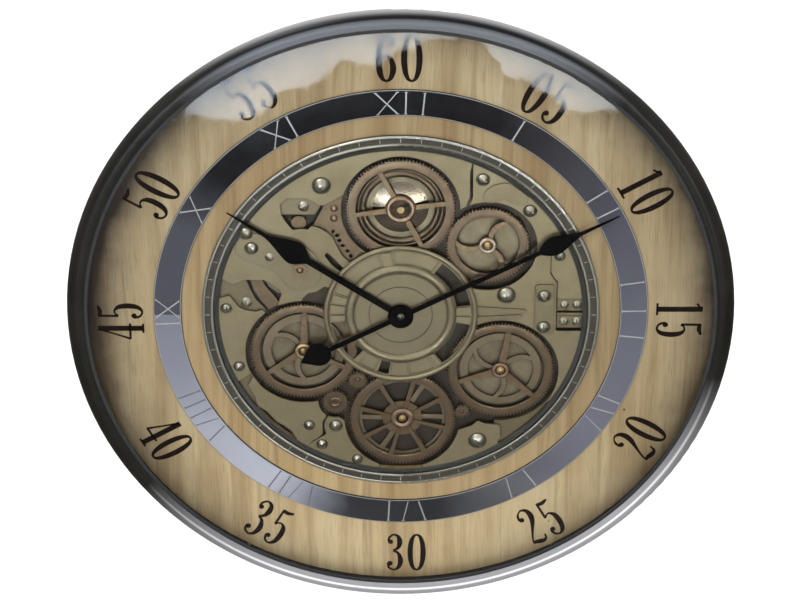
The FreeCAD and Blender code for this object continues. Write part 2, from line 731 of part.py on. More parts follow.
plate_screw_places = large_screw_shares + medium_plate_shares + small_plate_shares + medium_bracket_shares
sunk_screw_places = medium_sunk_shares + strap_screw_shares
bores_high = plate_top + raised_sheet + cut_overrun
screw_bores = group([disc(shank_radius, base_low - cut_overrun, bores_high, at_layout(place))
                     for place in plate_screw_places + sunk_screw_places])
sleeve_room = group([disc(post_radius, base_top - cut_overrun, plate_top, at_layout(place))
                     for place in plate_screw_places])


def large_screws():
    return group([screw(place, large_head) for place in large_screw_shares])


def plate_screws():
    medium_places = medium_plate_shares + medium_bracket_shares + medium_sunk_shares
    small_places = small_plate_shares + strap_screw_shares
    return group([screw(place, medium_head) for place in medium_places]
                 + [screw(place, small_head) for place in small_places])


# Sleeves round the screws, and a wide one round the bush of the hands
def plate_posts():
    posts = [ring(nut_reach, bush_thread + body_gap, base_top, plate_low)]
    for place in plate_screw_places:
        centre = at_layout(place)
        posts.append(ring(post_radius, shank_radius, base_top, plate_low, centre))
    return group(posts)


# Two rivets on the copper strap, and the brass pin in its collar on the raised plate at the left
def rivets():
    heads = []
    for place in rivet_shares:
        centre = at_layout(place)
        heads.append(sphere_cap(rivet_head, rivet_head / 2, sunk_top, centre))
    pin_centre = at_layout(brass_pin_shares)
    level = plate_top + raised_sheet
    pin_radius = arbor_head + rim_bead
    collar = ring(hub_radius + rim_bead, pin_radius, level, level + rim_bead, pin_centre)
    pin = sphere_cap(pin_radius, rim_bead * 3, level, pin_centre)
    return group(heads + [collar, pin])


def top_plate():
    slit = layout_plate(top_slit_shares, plate_low - cut_overrun, plate_top + cut_overrun)
    return bronze_plate(top_plate_shares).cut(slit)


def raised_plates():
    outlines = (upper_left_cock_shares, island_shares, right_bracket_shares)
    return group([raised_piece(outline_shares) for outline_shares in outlines] + pointer_bars())


# Two tapered bars that run from the centre ring to the right bracket
bar_upper_shares = [(0.66, 0.08), (1.12, 0.05), (1.14, 0.03), (1.12, 0.014), (0.66, 0.02)]
bar_lower_shares = [(0.66, -0.025), (1.08, -0.004), (1.10, -0.02), (1.07, -0.04), (0.66, -0.08)]


def pointer_bars():
    bars = []
    for outline_shares in (bar_upper_shares, bar_lower_shares):
        bar = rounded_plate([at_layout(place) for place in outline_shares], rim_bead, plate_top,
                            plate_top + raised_sheet)
        bars.append(bar.cut(disc(centre_ring_outer, plate_top, plate_top + 2 * raised_sheet)))
    return bars


# Dark strips with two screws each, at the right edge
strap_low_share = 0.025
strap_high_share = 0.15
strap_inner_share = 1.41
edge_bar_share = 0.012


def strap_plates():
    low_y = strap_low_share * layout_radius
    high_y = strap_high_share * layout_radius
    inner_x = strap_inner_share * layout_radius
    strips = [block(inner_x, window_radius, low_y, high_y, base_top, sunk_top),
              block(inner_x, window_radius, -high_y, -low_y, base_top, sunk_top)]
    limit = disc(plates_outer, base_top, plate_top)
    return [strip.common(limit).cut(screw_bores) for strip in strips]


def edge_bar():
    half = edge_bar_share * layout_radius
    bar = block(strap_inner_share * layout_radius, window_radius, -half, half, base_top, plate_top)
    return bar.common(disc(plates_outer, base_top, plate_top))


copper_boss_shares = (-0.905, 0.915)
copper_boss_radius = 6.5


def copper_strap():
    strap = sunk_piece(rivet_strap_shares)
    for place in strap_hole_shares:
        strap = strap.cut(disc(strap_hole_radius, base_top + layer_gap, plate_top, at_layout(place)))
    return strap


def copper_boss():
    boss = disc(copper_boss_radius, base_top, sunk_top - rim_bead, at_layout(copper_boss_shares))
    return boss.cut(sunk_piece(slot_piece_shares)).cut(gear_windows)


def copper_straps():
    return group([copper_strap(), sunk_piece(curved_lever_shares), copper_boss()])


# Plates and strips on the base plate, each cut back to the piece that it meets
def sunk_plates():
    strap_outline = layout_plate(rivet_strap_shares, base_top, plate_low)
    lever_outline = layout_plate(curved_lever_shares, base_top, plate_low)
    slot_piece = sunk_piece(slot_piece_shares).cut(strap_outline)
    left_inner = sunk_piece(left_inner_shares).cut(lever_outline)
    left_middle = sunk_piece(left_middle_shares).cut(lever_outline).cut(left_inner)
    floors = [sunk_piece(lower_right_floor_shares), sunk_piece(lower_left_floor_shares)]
    return group([slot_piece, left_middle, left_inner] + floors + strap_plates() + [edge_bar()])


# Bright centre of the works
spider_window_inner = 50.8
spider_window_outer = 63.5
disc_edge = 50.0
lip_inner = 41.0
groove_radius = 28.0
groove_width = 1.0
groove_depth = 0.6
disc_rise = 1.2
lip_rise = 2.4
ring_rise = 1.8
ring_shoulder = 0.8
tab_rise = 0.9
floor_drop = 0.7
arbor_bore = 6.0


# Sector of the ring between the disc and the centre ring, from one angle to another
def sector(inner, outer, start, end, low, high):
    middle = (start + end) / 2

    def place(radius, angle):
        x, y = at_angle(radius, angle)
        return point(x, y)

    outer_arc = Part.Arc(place(outer, start), place(outer, middle), place(outer, end)).toShape()
    inner_arc = Part.Arc(place(inner, end), place(inner, middle), place(inner, start)).toShape()
    first_side = Part.LineSegment(place(inner, start), place(outer, start)).toShape()
    last_side = Part.LineSegment(place(outer, end), place(inner, end)).toShape()
    return extruded(Part.Wire([outer_arc, last_side, inner_arc, first_side]), low, high)


def through_window(start, end):
    return sector(spider_window_inner, spider_window_outer, start, end, plate_low - cut_overrun,
                  plate_top + cut_overrun)


def shallow_window(start, end):
    return sector(spider_window_inner, spider_window_outer, start, end, plate_top - floor_drop,
                  plate_top + cut_overrun)


def centre_spider():
    spider = ring(plates_inner - seat_gap, arbor_bore, plate_low, plate_top)
    for start, end in ((8, 54), (-53, -10), (188, 207), (209, 228), (250.5, 260)):
        spider = spider.cut(through_window(start, end))
    for start, end in ((57, 96), (109, 160), (233, 248), (278, 299)):
        spider = spider.cut(shallow_window(start, end))
    tabs = []
    tab_inner = disc_edge + seat_gap
    for start, end in ((98, 107), (262, 276), (161.5, 169), (171, 179), (181, 186.5), (-8.6, -2.6),
                       (-0.6, 7), (302, 306)):
        tabs.append(sector(tab_inner, spider_window_outer, start, end, plate_top, plate_top + tab_rise))
    return joined([spider] + tabs)


def centre_disc():
    top = plate_top + disc_rise
    groove_low = top - groove_depth
    lip_middle = (disc_edge + lip_inner) / 2
    return turned_ring([
        (arbor_bore, plate_top), (disc_edge, plate_top),
        (disc_edge, top - groove_depth, lip_middle + groove_width, top + lip_rise - disc_rise),
        (lip_inner + groove_width, top - groove_depth), (lip_inner, groove_low), (lip_inner, top),
        (groove_radius + groove_width, top), (groove_radius + groove_width, groove_low),
        (groove_radius, groove_low), (groove_radius, top), (arbor_bore, top)])


def centre_ring():
    inner = centre_ring_outer - ring_width
    middle = (centre_ring_outer + inner) / 2
    shoulder = plate_top + ring_shoulder
    return turned_ring([
        (plates_inner, plate_top), (centre_ring_outer, plate_top),
        (centre_ring_outer, shoulder, middle, plate_top + ring_rise), (inner, shoulder), (inner, plate_top)])


# Polished dome and rings behind the top gear
def top_dome():
    room = gear_top - spoke_sheet - seat_gap - base_top
    low_room = gear_low - seat_gap - base_top
    half_room = base_top + low_room / 2
    high = base_top + low_room
    shell = sphere_cap(dome_radius, min(dome_rise, room), base_top)
    rings = turned_ring([
        (dome_ring_inner, base_top), (dome_ring_outer, base_top),
        (dome_ring_outer, half_room, dome_ring_outer - rim_bead * 2, high),
        (dome_ring_outer - rim_bead * 4, half_room, dome_ring_inner + rim_bead * 3, high),
        (dome_ring_inner, half_room)])
    shaft_room = disc(bush_radius + seat_gap, base_top - cut_overrun, gear_low)
    hole = disc(gear_bore + seat_gap, base_top - cut_overrun, gear_top)
    return moved(group([shell.cut(shaft_room).cut(hole), rings]), top_centre)


# Base plate and its screws
base_lap = 7.0
base_radius = window_radius + base_lap
rabbet_gap = 2.0
base_screw_count = 8
base_screw_head = 3.2
bush_thread = 5.0
nut_reach = 9.0
nut_sides = 6


def base_screw_places():
    radius = (base_radius + window_radius) / 2
    step = 360 / base_screw_count
    return [at_angle(radius, step / 2 + index * step) for index in range(base_screw_count)]


def base_plate():
    plate = disc(base_radius, base_low, base_top)
    holes = [disc(bush_radius, base_low - cut_overrun, base_top + cut_overrun, centre)
             for centre in long_bush_centres + short_bush_centres]
    holes.append(disc(arbor_head + body_gap, base_low - cut_overrun, base_top + cut_overrun, pinion_centre))
    holes.append(disc(bush_thread + body_gap, base_low - cut_overrun, base_top + cut_overrun))
    holes += [disc(shank_radius, base_low - cut_overrun, base_top + cut_overrun, place)
              for place in base_screw_places()]
    holes += [disc(shank_radius, base_low - cut_overrun, base_top + cut_overrun, at_layout(place))
              for place in plate_screw_places + sunk_screw_places]
    return plate.cut(group(holes))


def base_screws():
    screws = []
    for place in base_screw_places():
        head = disc(base_screw_head, base_low - head_rise_share * base_screw_head, base_low, place)
        screws.append(head.fuse(disc(shank_radius, base_low, base_top + board_lip / 2, place)))
    return screws


# Dial
def dial_board():
    board_radius = tray_inner - body_gap
    board = ring(board_radius, window_radius, board_back, dial_face)
    rabbet = disc(base_radius + rabbet_gap, board_back - cut_overrun, base_top)
    holes = [disc(shank_radius, base_top - cut_overrun, base_top + board_lip / 2, place)
             for place in base_screw_places()]
    holes += [disc(shank_radius, board_back - cut_overrun, board_back + board_lip / 2, place)
              for place in cover_screw_places()]
    return board.cut(rabbet).cut(group(holes))


band_sheet = 1.5
band_edge = 0.4
track_height = 2.6
track_groove = 1.6
inlay_outer_inset = 2.9
inlay_width = 4.4
inner_bead = 3.4


def mirror_band():
    outer = case_radius - bezel_width - numeral_field
    inner = outer - band_width
    top = dial_face + band_sheet
    return turned_ring([
        (inner, dial_face), (outer, dial_face), (outer, top - band_edge), (outer - band_edge, top),
        (inner + band_edge, top), (inner, top - band_edge)])


def track_ring():
    outer = window_radius + track_width
    inlay_outer = outer - inlay_outer_inset
    inlay_inner = inlay_outer - inlay_width
    bead_inner = window_radius + gasket_width
    top = dial_face + track_height
    floor = top - track_groove
    crown = inlay_inner - inner_bead / 2
    lip = plate_top + seat_gap
    return turned_ring([
        (window_radius, dial_face), (outer, dial_face),
        (outer, top - band_edge, outer - band_edge, top), (inlay_outer + band_edge, top),
        (inlay_outer, top - band_edge), (inlay_outer, floor), (inlay_inner, floor),
        (inlay_inner, floor + band_edge, crown, top + band_edge),
        (inlay_inner - inner_bead, floor + band_edge),
        (bead_inner - band_edge, floor), (window_radius - edge_gap, floor - band_edge),
        (window_radius - edge_gap * 2, lip), (window_radius, lip)])


def track_inlay():
    outer = window_radius + track_width - inlay_outer_inset
    top = dial_face + track_height
    return ring(outer, outer - inlay_width, top - track_groove, top - track_groove + band_edge * 2)


# Case
tray_inset = 13.5
bezel_wall = 1.5
bezel_back = 6.0
bezel_back_inset = 3.5
bezel_screw_count = 6
bezel_screw_radius = 1.6
tray_outer = case_radius - tray_inset
tray_inner = tray_outer - tray_sheet
tray_floor_width = 56.3
cover_wall = 2.0
flange_width = 11.0
cover_radius = tray_inner - tray_floor_width + flange_width
bezel_belly = 3.0
bezel_mid = glass_low - bezel_belly
pocket_gap = 0.9
glass_pocket = tray_outer + pocket_gap
glass_radius = glass_pocket - body_gap


def bezel_ring():
    inner = case_radius - bezel_width
    pocket = tray_outer + body_gap
    crown_radius = case_radius - bezel_width / 2
    crown = glass_top + bezel_crown
    back = bezel_mid - bezel_back
    back_radius = case_radius - bezel_back_inset
    belly = case_radius - bezel_back_inset / 4
    shoulder_share = 0.22
    shoulder = case_radius - bezel_width * shoulder_share
    shoulder_height = bezel_mid + (crown - bezel_mid) * (1 - shoulder_share)
    lip = glass_top + bezel_crown / 2
    outside = turned_ring([
        (inner, glass_top), (glass_pocket, glass_top), (glass_pocket, glass_low), (pocket, glass_low),
        (pocket, back), (back_radius, back, belly, bezel_mid - bezel_back / 2),
        (case_radius, bezel_mid, shoulder, shoulder_height),
        (crown_radius, crown, (crown_radius + inner) / 2, crown - bezel_crown / 8), (inner, lip)])
    hollow = turned_ring([
        (glass_pocket + bezel_wall, back - cut_overrun), (back_radius - bezel_wall, back - cut_overrun),
        (case_radius - bezel_wall - bezel_wall / 2, bezel_mid),
        (shoulder - bezel_wall, shoulder_height - bezel_wall),
        (crown_radius, crown - bezel_wall),
        (glass_pocket + bezel_wall, crown - bezel_wall - bezel_crown / 2)])
    return bezel_holes(outside.cut(hollow))


def bezel_screws():
    screws = []
    height = bezel_mid - bezel_back / 2
    seat = glass_pocket + bezel_wall
    shank_end = tray_inner - tray_sheet
    for index in range(bezel_screw_count):
        shank = Part.makeCylinder(bezel_screw_radius, seat - shank_end, point(shank_end, 0, height), x_axis)
        head = Part.makeCylinder(bezel_screw_radius * 2, bezel_wall, point(seat, 0, height), x_axis)
        screws.append(spun(shank.fuse(head), index * 360 / bezel_screw_count))
    return screws


def bezel_holes(shape):
    return shape.cut(group(bezel_screws()))


def glass_gasket():
    outer = case_radius - bezel_width
    inner = outer - gasket_width
    top = glass_top + bezel_crown / 2
    edge = bezel_crown / 4
    return turned_ring([
        (inner, glass_top), (outer, glass_top), (outer, top - edge), (outer - edge, top), (inner + edge, top),
        (inner, top - edge)])


def front_glass():
    return disc(glass_radius, glass_low, glass_top)


def case_tray():
    wall = ring(tray_outer, tray_inner, tray_back, glass_low)
    floor = ring(tray_outer, tray_inner - tray_floor_width, tray_back, board_back)
    holes = [disc(shank_radius, tray_back - cut_overrun, board_back + cut_overrun, place)
             for place in cover_screw_places()]
    return bezel_holes(wall.fuse(floor).cut(group(holes)))


# Rear cover: a pan behind the works, with openings for the movement and the battery box
movement_width = 56.0
movement_height = 56.0
movement_depth = chassis_low
movement_corner = 4.0
opening_margin = 2.0
box_width = 66.0
box_height = 37.0
box_wall = 1.6
box_drop = 88.0
door_gap = 0.5
hinge_radius = 0.5
hinge_pin = 2.0
hanger_inset = 35.0
hanger_height = cover_radius - hanger_inset
hanger_width = 46.0
hanger_length = 34.0
hanger_sheet = 1.5
keyhole_head = 5.0
keyhole_neck = 2.6
keyhole_run = 9.0
cover_screw_count = 8
cover_screw_head = 3.6
pillar_count = 6
pillar_inset = 19.0
pillar_circle = window_radius - pillar_inset
pillar_radius = 4.0
cover_flange_top = tray_back
box_centre = (0, -box_drop)
slider_room = 14.0
slider_reach = 13.0
slider_slot = 8.0
slider_travel = 4.0
slider_grip = 3.0


def cover_screw_places():
    radius = cover_radius + flange_width / 2
    step = 360 / cover_screw_count
    return [at_angle(radius, step / 2 + index * step) for index in range(cover_screw_count)]


def keyhole(low, high):
    head = disc(keyhole_head, low, high, (0, hanger_height - keyhole_run))
    slot = block(-keyhole_neck, keyhole_neck, hanger_height - keyhole_run, hanger_height, low, high)
    end = disc(keyhole_neck, low, high, (0, hanger_height))
    return joined([head, slot, end])


# Room of the battery box, as wide and high as its opening in the cover
def box_room(low, high):
    half_height = box_height / 2
    return block(-box_width / 2, box_width / 2, -box_drop - half_height, -box_drop + half_height, low, high)


def rear_cover():
    floor = disc(cover_radius, 0, cover_top)
    wall_inner = cover_radius - cover_wall
    flange_low = cover_flange_top - cover_sheet
    wall = ring(cover_radius, wall_inner, 0, cover_flange_top)
    flange = ring(cover_radius + flange_width, wall_inner, flange_low, cover_flange_top)
    shell = joined([floor, wall, flange])
    movement_hole = rounded_block(movement_width + 2 * opening_margin, movement_height + 2 * opening_margin,
                                  movement_corner, -cut_overrun, cover_top + cut_overrun)
    box_hole = box_room(-cut_overrun, cover_top + cut_overrun)
    key = rounded_block(hanger_width / 2, hanger_length - 4 * hanger_sheet, movement_corner, -cut_overrun,
                        cover_top + cut_overrun, (0, hanger_height - keyhole_run / 2))
    screw_holes = [disc(shank_radius, flange_low - cut_overrun, cover_flange_top + cut_overrun, place)
                   for place in cover_screw_places()]
    slot = switch_slot(-cut_overrun, cover_top + cut_overrun)
    holes = [movement_hole, box_hole, key, slot, door_pins(running_fit)]
    return shell.cut(group(holes + screw_holes))


# Slot that the switch's grip moves in
def switch_slot(low, high):
    x = box_width / 2 + box_wall
    return block(x + box_wall, x + slider_room - 2 * box_wall, box_centre[1] - slider_slot,
                 box_centre[1] + slider_slot, low, high)


# Hinge pins at both ends of the battery door's lower edge
def door_pins(fit):
    y = box_centre[1] - box_height / 2 + door_gap + cover_sheet / 2
    reach = box_width / 2 + hinge_pin + fit
    return Part.makeCylinder(hinge_radius + fit, 2 * reach, point(-reach, y, cover_sheet / 2), x_axis)


def cover_screws():
    screws = []
    low = cover_flange_top - cover_sheet
    for place in cover_screw_places():
        head = disc(cover_screw_head, low - cover_screw_head * head_rise_share, low, place)
        screws.append(head.fuse(disc(shank_radius, low, board_back + board_lip / 2, place)))
    return screws


# Screws that hold the base plate on the dial, the bezel on the tray, and the cover on tray and dial
def case_screws():
    return group(base_screws() + bezel_screws() + cover_screws())


def hanger_plate():
    plate = rounded_block(hanger_width, hanger_length, movement_corner, cover_top, cover_top + hanger_sheet,
                          (0, hanger_height - keyhole_run / 2))
    return plate.cut(keyhole(cover_top - cut_overrun, cover_top + hanger_sheet + cut_overrun))


def pillar_places():
    return [at_angle(pillar_circle, index * 360 / pillar_count) for index in range(pillar_count)]


def chassis_plate():
    plate = disc(pillar_circle + 3 * pillar_radius, chassis_low, chassis_top)
    holes = [disc(shank_radius, chassis_low - cut_overrun, chassis_top + cut_overrun, place)
             for place in pillar_places()]
    holes.append(disc(bush_thread, chassis_low - cut_overrun, chassis_top + cut_overrun))
    return plate.cut(group(holes))


def chassis_pillars():
    pillars = []
    for place in pillar_places():
        body = disc(pillar_radius, chassis_top, base_low, place)
        tail = disc(shank_radius, chassis_low, chassis_top, place)
        head = disc(pillar_radius, chassis_low - cover_sheet, chassis_low, place)
        pillars.append(joined([body, tail, head]))
    return group(pillars)


# Quartz movement, flush with the back of the cover, and its long threaded bush
bush_stand = 1.4
nut_sheet = 1.0
bush_top = plate_top + disc_rise + bush_stand
cell_radius = 7.1
cell_length = 50.0
cell_tip = 1.5
cell_tip_radius = 2.75
knob_radius = 6.0
knob_rise = 2.2
knob_notches = 14
knob_notch = 0.5
bay_wall = 1.2
minute_radius = 1.5
hour_tube_radius = 2.6
movement_low = chassis_low - movement_depth
knob_shaft = 1.5
knob_offset = 14.0
knob_place = (knob_offset, -knob_offset)
cell_offset = 16.0
bay_depth = movement_depth - bay_wall


def quartz_case():
    body = rounded_block(movement_width, movement_height, movement_corner, movement_low, chassis_low)
    bay_reach = cell_length / 2 + bay_wall
    bay_half = cell_radius + body_gap
    bay = block(-bay_reach, bay_reach, cell_offset - bay_half, cell_offset + bay_half,
                movement_low - cut_overrun, movement_low + bay_depth)
    dish = disc(knob_radius + opening_margin, movement_low - cut_overrun, movement_low + knob_rise + body_gap,
                knob_place)
    shaft = disc(knob_shaft + running_fit, movement_low, movement_low + movement_depth / 2, knob_place)
    bore = disc(hour_tube_radius + running_fit, chassis_low - movement_depth / 4, chassis_low + cut_overrun)
    return body.cut(group([bay, dish, shaft, bore]))


# Cell that lies along x
def cell(y, height):
    body = Part.makeCylinder(cell_radius, cell_length - cell_tip, point(-cell_length / 2, y, height), x_axis)
    tip = Part.makeCylinder(cell_tip_radius, cell_tip, point(cell_length / 2 - cell_tip, y, height), x_axis)
    return body.fuse(tip)


# One cell in the movement and two in the battery box
def battery_cells():
    cells = [cell(cell_offset, movement_low + bay_depth - cell_radius - seat_gap)]
    height = chassis_low - box_wall - cell_radius - seat_gap
    for side in (-1, 1):
        cells.append(cell(box_centre[1] + side * (cell_radius + box_wall), height))
    return group(cells)


def set_knob():
    low = movement_low
    body = disc(knob_radius, low, low + knob_rise, knob_place)
    notches = []
    for index in range(knob_notches):
        x, y = at_angle(knob_radius, index * 360 / knob_notches)
        notches.append(disc(knob_notch, low - cut_overrun, low + knob_rise + cut_overrun,
                            (knob_place[0] + x, knob_place[1] + y)))
    shaft = disc(knob_shaft, low, low + movement_depth / 2 - seat_gap, knob_place)
    return body.cut(group(notches)).fuse(shaft)


def fixing_bush():
    bush_body = disc(bush_thread, chassis_low, bush_top)
    bore = disc(hour_tube_radius + running_fit, chassis_low - cut_overrun, bush_top + cut_overrun)
    return bush_body.cut(bore)


def fixing_nut():
    corners = [at_angle(nut_reach, index * 360 / nut_sides) for index in range(nut_sides)]
    low = plate_top + disc_rise
    return polygon(corners, low, low + nut_sheet).cut(disc(bush_thread, plate_top, bush_top))


# Hands
hour_angle = 304.2
minute_angle = 62.2
hour_reach = 186.0
minute_reach = 219.0
hub_disc_radius = 11.5
hand_sheet = 0.9
hand_gap = 0.8
hour_low = bush_top + hand_gap
minute_low = hour_low + hand_sheet + hand_gap
hour_stem = 2.9
minute_stem = 2.3
tail_reach = 84.0
tail_radius = 11.5
cap_radius = 3.5
cap_rise = 0.8

# Half widths along the hour hand, as shares of its reach
hour_flank_shares = [(0.535, 0.0160), (0.560, 0.0330), (0.600, 0.0590), (0.650, 0.0530), (0.715, 0.0290),
                     (0.765, 0.0130), (0.810, 0.0090)]
minute_flank_shares = [(0.640, 0.0105), (0.662, 0.0270), (0.705, 0.0415), (0.755, 0.0300), (0.810, 0.0125),
                       (0.850, 0.0080)]
tip_width = 0.5


def hand_outline(reach, stem, flank_shares, start):
    rise = [point(along * reach, half * reach) for along, half in flank_shares]
    fall = [point(along * reach, -half * reach) for along, half in reversed(flank_shares)]
    upper = Part.BSplineCurve()
    upper.interpolate(rise)
    lower = Part.BSplineCurve()
    lower.interpolate(fall)
    tip_upper = point(reach, tip_width)
    tip_lower = point(reach, -tip_width)
    corners = [point(start, -stem), point(start, stem)]
    edges = [Part.LineSegment(corners[0], corners[1]).toShape(),
             Part.LineSegment(corners[1], rise[0]).toShape(),
             upper.toShape(), Part.LineSegment(rise[-1], tip_upper).toShape(),
             Part.LineSegment(tip_upper, tip_lower).toShape(), Part.LineSegment(tip_lower, fall[0]).toShape(),
             lower.toShape(), Part.LineSegment(fall[-1], corners[0]).toShape()]
    return Part.Wire(edges)


def hour_hand():
    blade = spun(extruded(hand_outline(hour_reach, hour_stem, hour_flank_shares, 0), hour_low,
                          hour_low + hand_sheet), 90 - hour_angle)
    hub = disc(hub_disc_radius, hour_low, hour_low + hand_sheet)
    return blade.fuse(hub).cut(disc(minute_radius + running_fit, hour_low - cut_overrun, minute_low))


def hour_tube():
    low = chassis_low - movement_depth / 4 + seat_gap
    return ring(hour_tube_radius, minute_radius + running_fit, low, hour_low)


def minute_hand():
    high = minute_low + hand_sheet
    front = extruded(hand_outline(minute_reach, minute_stem, minute_flank_shares, 0), minute_low, high)
    tail = block(-tail_reach, 0, -minute_stem, minute_stem, minute_low, high)
    weight = disc(tail_radius, minute_low, high, (-tail_reach, 0))
    lean = math.sqrt(tail_radius * tail_radius / 2)
    point_reach = tail_reach + tail_radius * math.sqrt(2)
    barb = polygon([(-tail_reach - lean, -lean), (-tail_reach - lean, lean), (-point_reach - lean / 4, 0)],
                   minute_low, high)
    hub = disc(hub_disc_radius, minute_low, high)
    blade = joined([front, tail, weight, barb, hub])
    return spun(blade, 90 - minute_angle).cut(disc(minute_radius, minute_low - cut_overrun, high))


# Arbor of the minute hand, with the cap that holds the hand
def minute_arbor():
    top = minute_low + hand_sheet
    shaft = disc(minute_radius, chassis_low - movement_depth / 4 + seat_gap, top)
    return shaft.fuse(sphere_cap(cap_radius, cap_rise, top))


# Gear motor on the front of the chassis, with the drive pinion on its shaft
motor_radius = 16.0
motor_height = 17.0
motor_top = chassis_top + motor_height


def gear_motor():
    body = disc(motor_radius, chassis_top, motor_top, pinion_centre)
    nose = disc(bush_flange, motor_top, motor_top + bush_rise * 2, pinion_centre)
    bore = disc(gear_bore, motor_top - seat_gap * 2, motor_top + cut_overrun * 2, pinion_centre)
    return body.fuse(nose).cut(bore)


# Battery box behind the chassis, open to the back, with two cells, a switch and a hinged door
def battery_box():
    width = box_width + 2 * box_wall
    height = box_height + 2 * box_wall
    x = width / 2
    y = height / 2
    body = block(-x, x + slider_room, box_centre[1] - y, box_centre[1] + y, cover_top, chassis_low)
    room = box_room(cover_top - cut_overrun, chassis_low - box_wall)
    switch_room = block(x, x + slider_room - box_wall, box_centre[1] - slider_reach,
                        box_centre[1] + slider_reach, cover_top + box_wall, chassis_low - box_wall)
    slot = switch_slot(cover_top - cut_overrun, cover_top + box_wall + cut_overrun)
    return body.cut(group([room, switch_room, slot]))


# Switch of the gear motor, drawn at its lower stop
def switch_slider():
    x = box_width / 2 + box_wall
    y = box_centre[1]
    half_foot = slider_reach - slider_travel / 2 - body_gap
    foot = block(x + body_gap, x + slider_room - box_wall - body_gap, y - half_foot, y + half_foot,
                 cover_top + box_wall + seat_gap, cover_top + 3 * box_wall)
    grip = block(x + box_wall + body_gap, x + slider_room - 2 * box_wall - body_gap, y - slider_grip,
                 y + slider_grip, cover_top / 2, cover_top + 2 * box_wall)
    return moved(foot.fuse(grip), (0, -slider_travel / 2))


def battery_door():
    x = box_width / 2 - door_gap
    y = box_height / 2 - door_gap
    panel = block(-x, x, box_centre[1] - y, box_centre[1] + y, 0, cover_top)
    return panel.fuse(door_pins(0))


shapes = {
    "bezel_ring": bezel_ring,
    "glass_gasket": glass_gasket,
    "front_glass": front_glass,
    "case_tray": case_tray,
    "dial_board": dial_board,
    "mirror_band": mirror_band,
    "track_ring": track_ring,
    "track_inlay": track_inlay,
    "base_plate": base_plate,
    "top_plate": top_plate,
    "raised_plates": raised_plates,
    "sunk_plates": sunk_plates,
    "copper_straps": copper_straps,
    "centre_spider": centre_spider,
    "centre_disc": centre_disc,
    "centre_ring": centre_ring,
    "plate_posts": plate_posts,
    "large_screws": large_screws,
    "plate_screws": plate_screws,
    "rivets": rivets,
    "case_screws": case_screws,
    "top_dome": top_dome,
    "arbor_bushes": arbor_bushes,
    "top_gear": top_gear,
    "upper_right_gear": upper_right_gear,
    "lower_right_gear": lower_right_gear,
    "bottom_gear": bottom_gear,
    "lower_left_gear": lower_left_gear,
    "lower_right_back_wheel": lower_right_back_wheel,
    "bottom_back_wheel": bottom_back_wheel,
    "lower_left_back_wheel": lower_left_back_wheel,
    "left_idler": left_idler,
    "lower_idler": lower_idler,
    "transfer_gear": transfer_gear,
    "lower_right_back_gear": lower_right_back_gear,
    "upper_right_back_gear": upper_right_back_gear,
    "drive_pinion": drive_pinion,
    "hour_hand": hour_hand,
    "hour_tube": hour_tube,
    "minute_hand": minute_hand,
    "minute_arbor": minute_arbor,
    "quartz_case": quartz_case,
    "fixing_bush": fixing_bush,
    "fixing_nut": fixing_nut,
    "set_knob": set_knob,
    "chassis_plate": chassis_plate,
    "chassis_pillars": chassis_pillars,
    "gear_motor": gear_motor,
    "battery_box": battery_box,
    "battery_cells": battery_cells,
    "battery_door": battery_door,
    "switch_slider": switch_slider,
    "rear_cover": rear_cover,
    "hanger_plate": hanger_plate,
}

bronze_outlines = {
    "upper_right_plate": upper_right_plate_shares,
    "right_plate": right_plate_shares,
    "left_plate": left_plate_shares,
    "lower_left_plate": lower_left_plate_shares,
    "bottom_left_plate": bottom_left_plate_shares,
    "lower_right_plate": lower_right_plate_shares,
}

os.makedirs("parts", exist_ok=True)
for name, make in shapes.items():
    save(name, make())
for name, outline_shares in bronze_outlines.items():
    save(name, bronze_plate(outline_shares))
print("pieces", len(shapes) + len(bronze_outlines))
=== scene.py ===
import math

import bpy
from mathutils import Matrix, Vector


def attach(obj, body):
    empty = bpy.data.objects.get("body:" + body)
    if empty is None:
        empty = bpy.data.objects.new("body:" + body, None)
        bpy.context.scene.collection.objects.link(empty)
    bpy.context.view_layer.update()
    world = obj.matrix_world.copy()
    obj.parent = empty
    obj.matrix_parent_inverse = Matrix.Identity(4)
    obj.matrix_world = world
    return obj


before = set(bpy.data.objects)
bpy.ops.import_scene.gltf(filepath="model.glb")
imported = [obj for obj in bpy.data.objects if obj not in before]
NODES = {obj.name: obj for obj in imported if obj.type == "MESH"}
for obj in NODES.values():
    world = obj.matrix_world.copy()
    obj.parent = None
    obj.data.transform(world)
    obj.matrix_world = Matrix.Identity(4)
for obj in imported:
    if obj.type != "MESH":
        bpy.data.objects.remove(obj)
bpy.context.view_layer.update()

MM = 0.001
# Places of the screws are given in shares of this length, in millimetres
LAYOUT = 99.99

# Heights above the wall, in millimetres
PLATE_TOP = 50.2
DIAL_FACE = 50.0
BAND_TOP = 51.5
INLAY_TOP = 51.8
# Gap under a printed piece, and how high its top stands over what carries it
LIFT = 0.01
INK_TOP = 0.16
SILVER_TOP = 0.10
TICK_TOP = 0.08

# Gear axes on the face, in millimetres
TOP_GEAR = (0.0, 105.0)
UPPER_RIGHT = (77.492, 68.893)
LOWER_RIGHT = (90.991, -59.594)
BOTTOM = (1.5, -110.589)
LOWER_LEFT = (-87.991, -39.596)


# A point of the face, x and y in millimetres seen from the front and z from the wall, in the part's frame
def at(x, y, z):
    return Vector((x * MM, -z * MM, y * MM))


# ---- materials
# Painted shade in recesses, from ambient occlusion: its samples and its tone
RECESS_SAMPLES = 6
PAINTED_RECESS_SHADE = 0.22  # tone of a recess, as a share of the metal's dark tone
TINY = 0.0001  # keeps a division off zero
# Radii in metres times these are places on a ramp
WORKS_RAMP = 16.0
TRACK_RAMP = 5.0


def link(nt, a, b):
    nt.links.new(a, b)


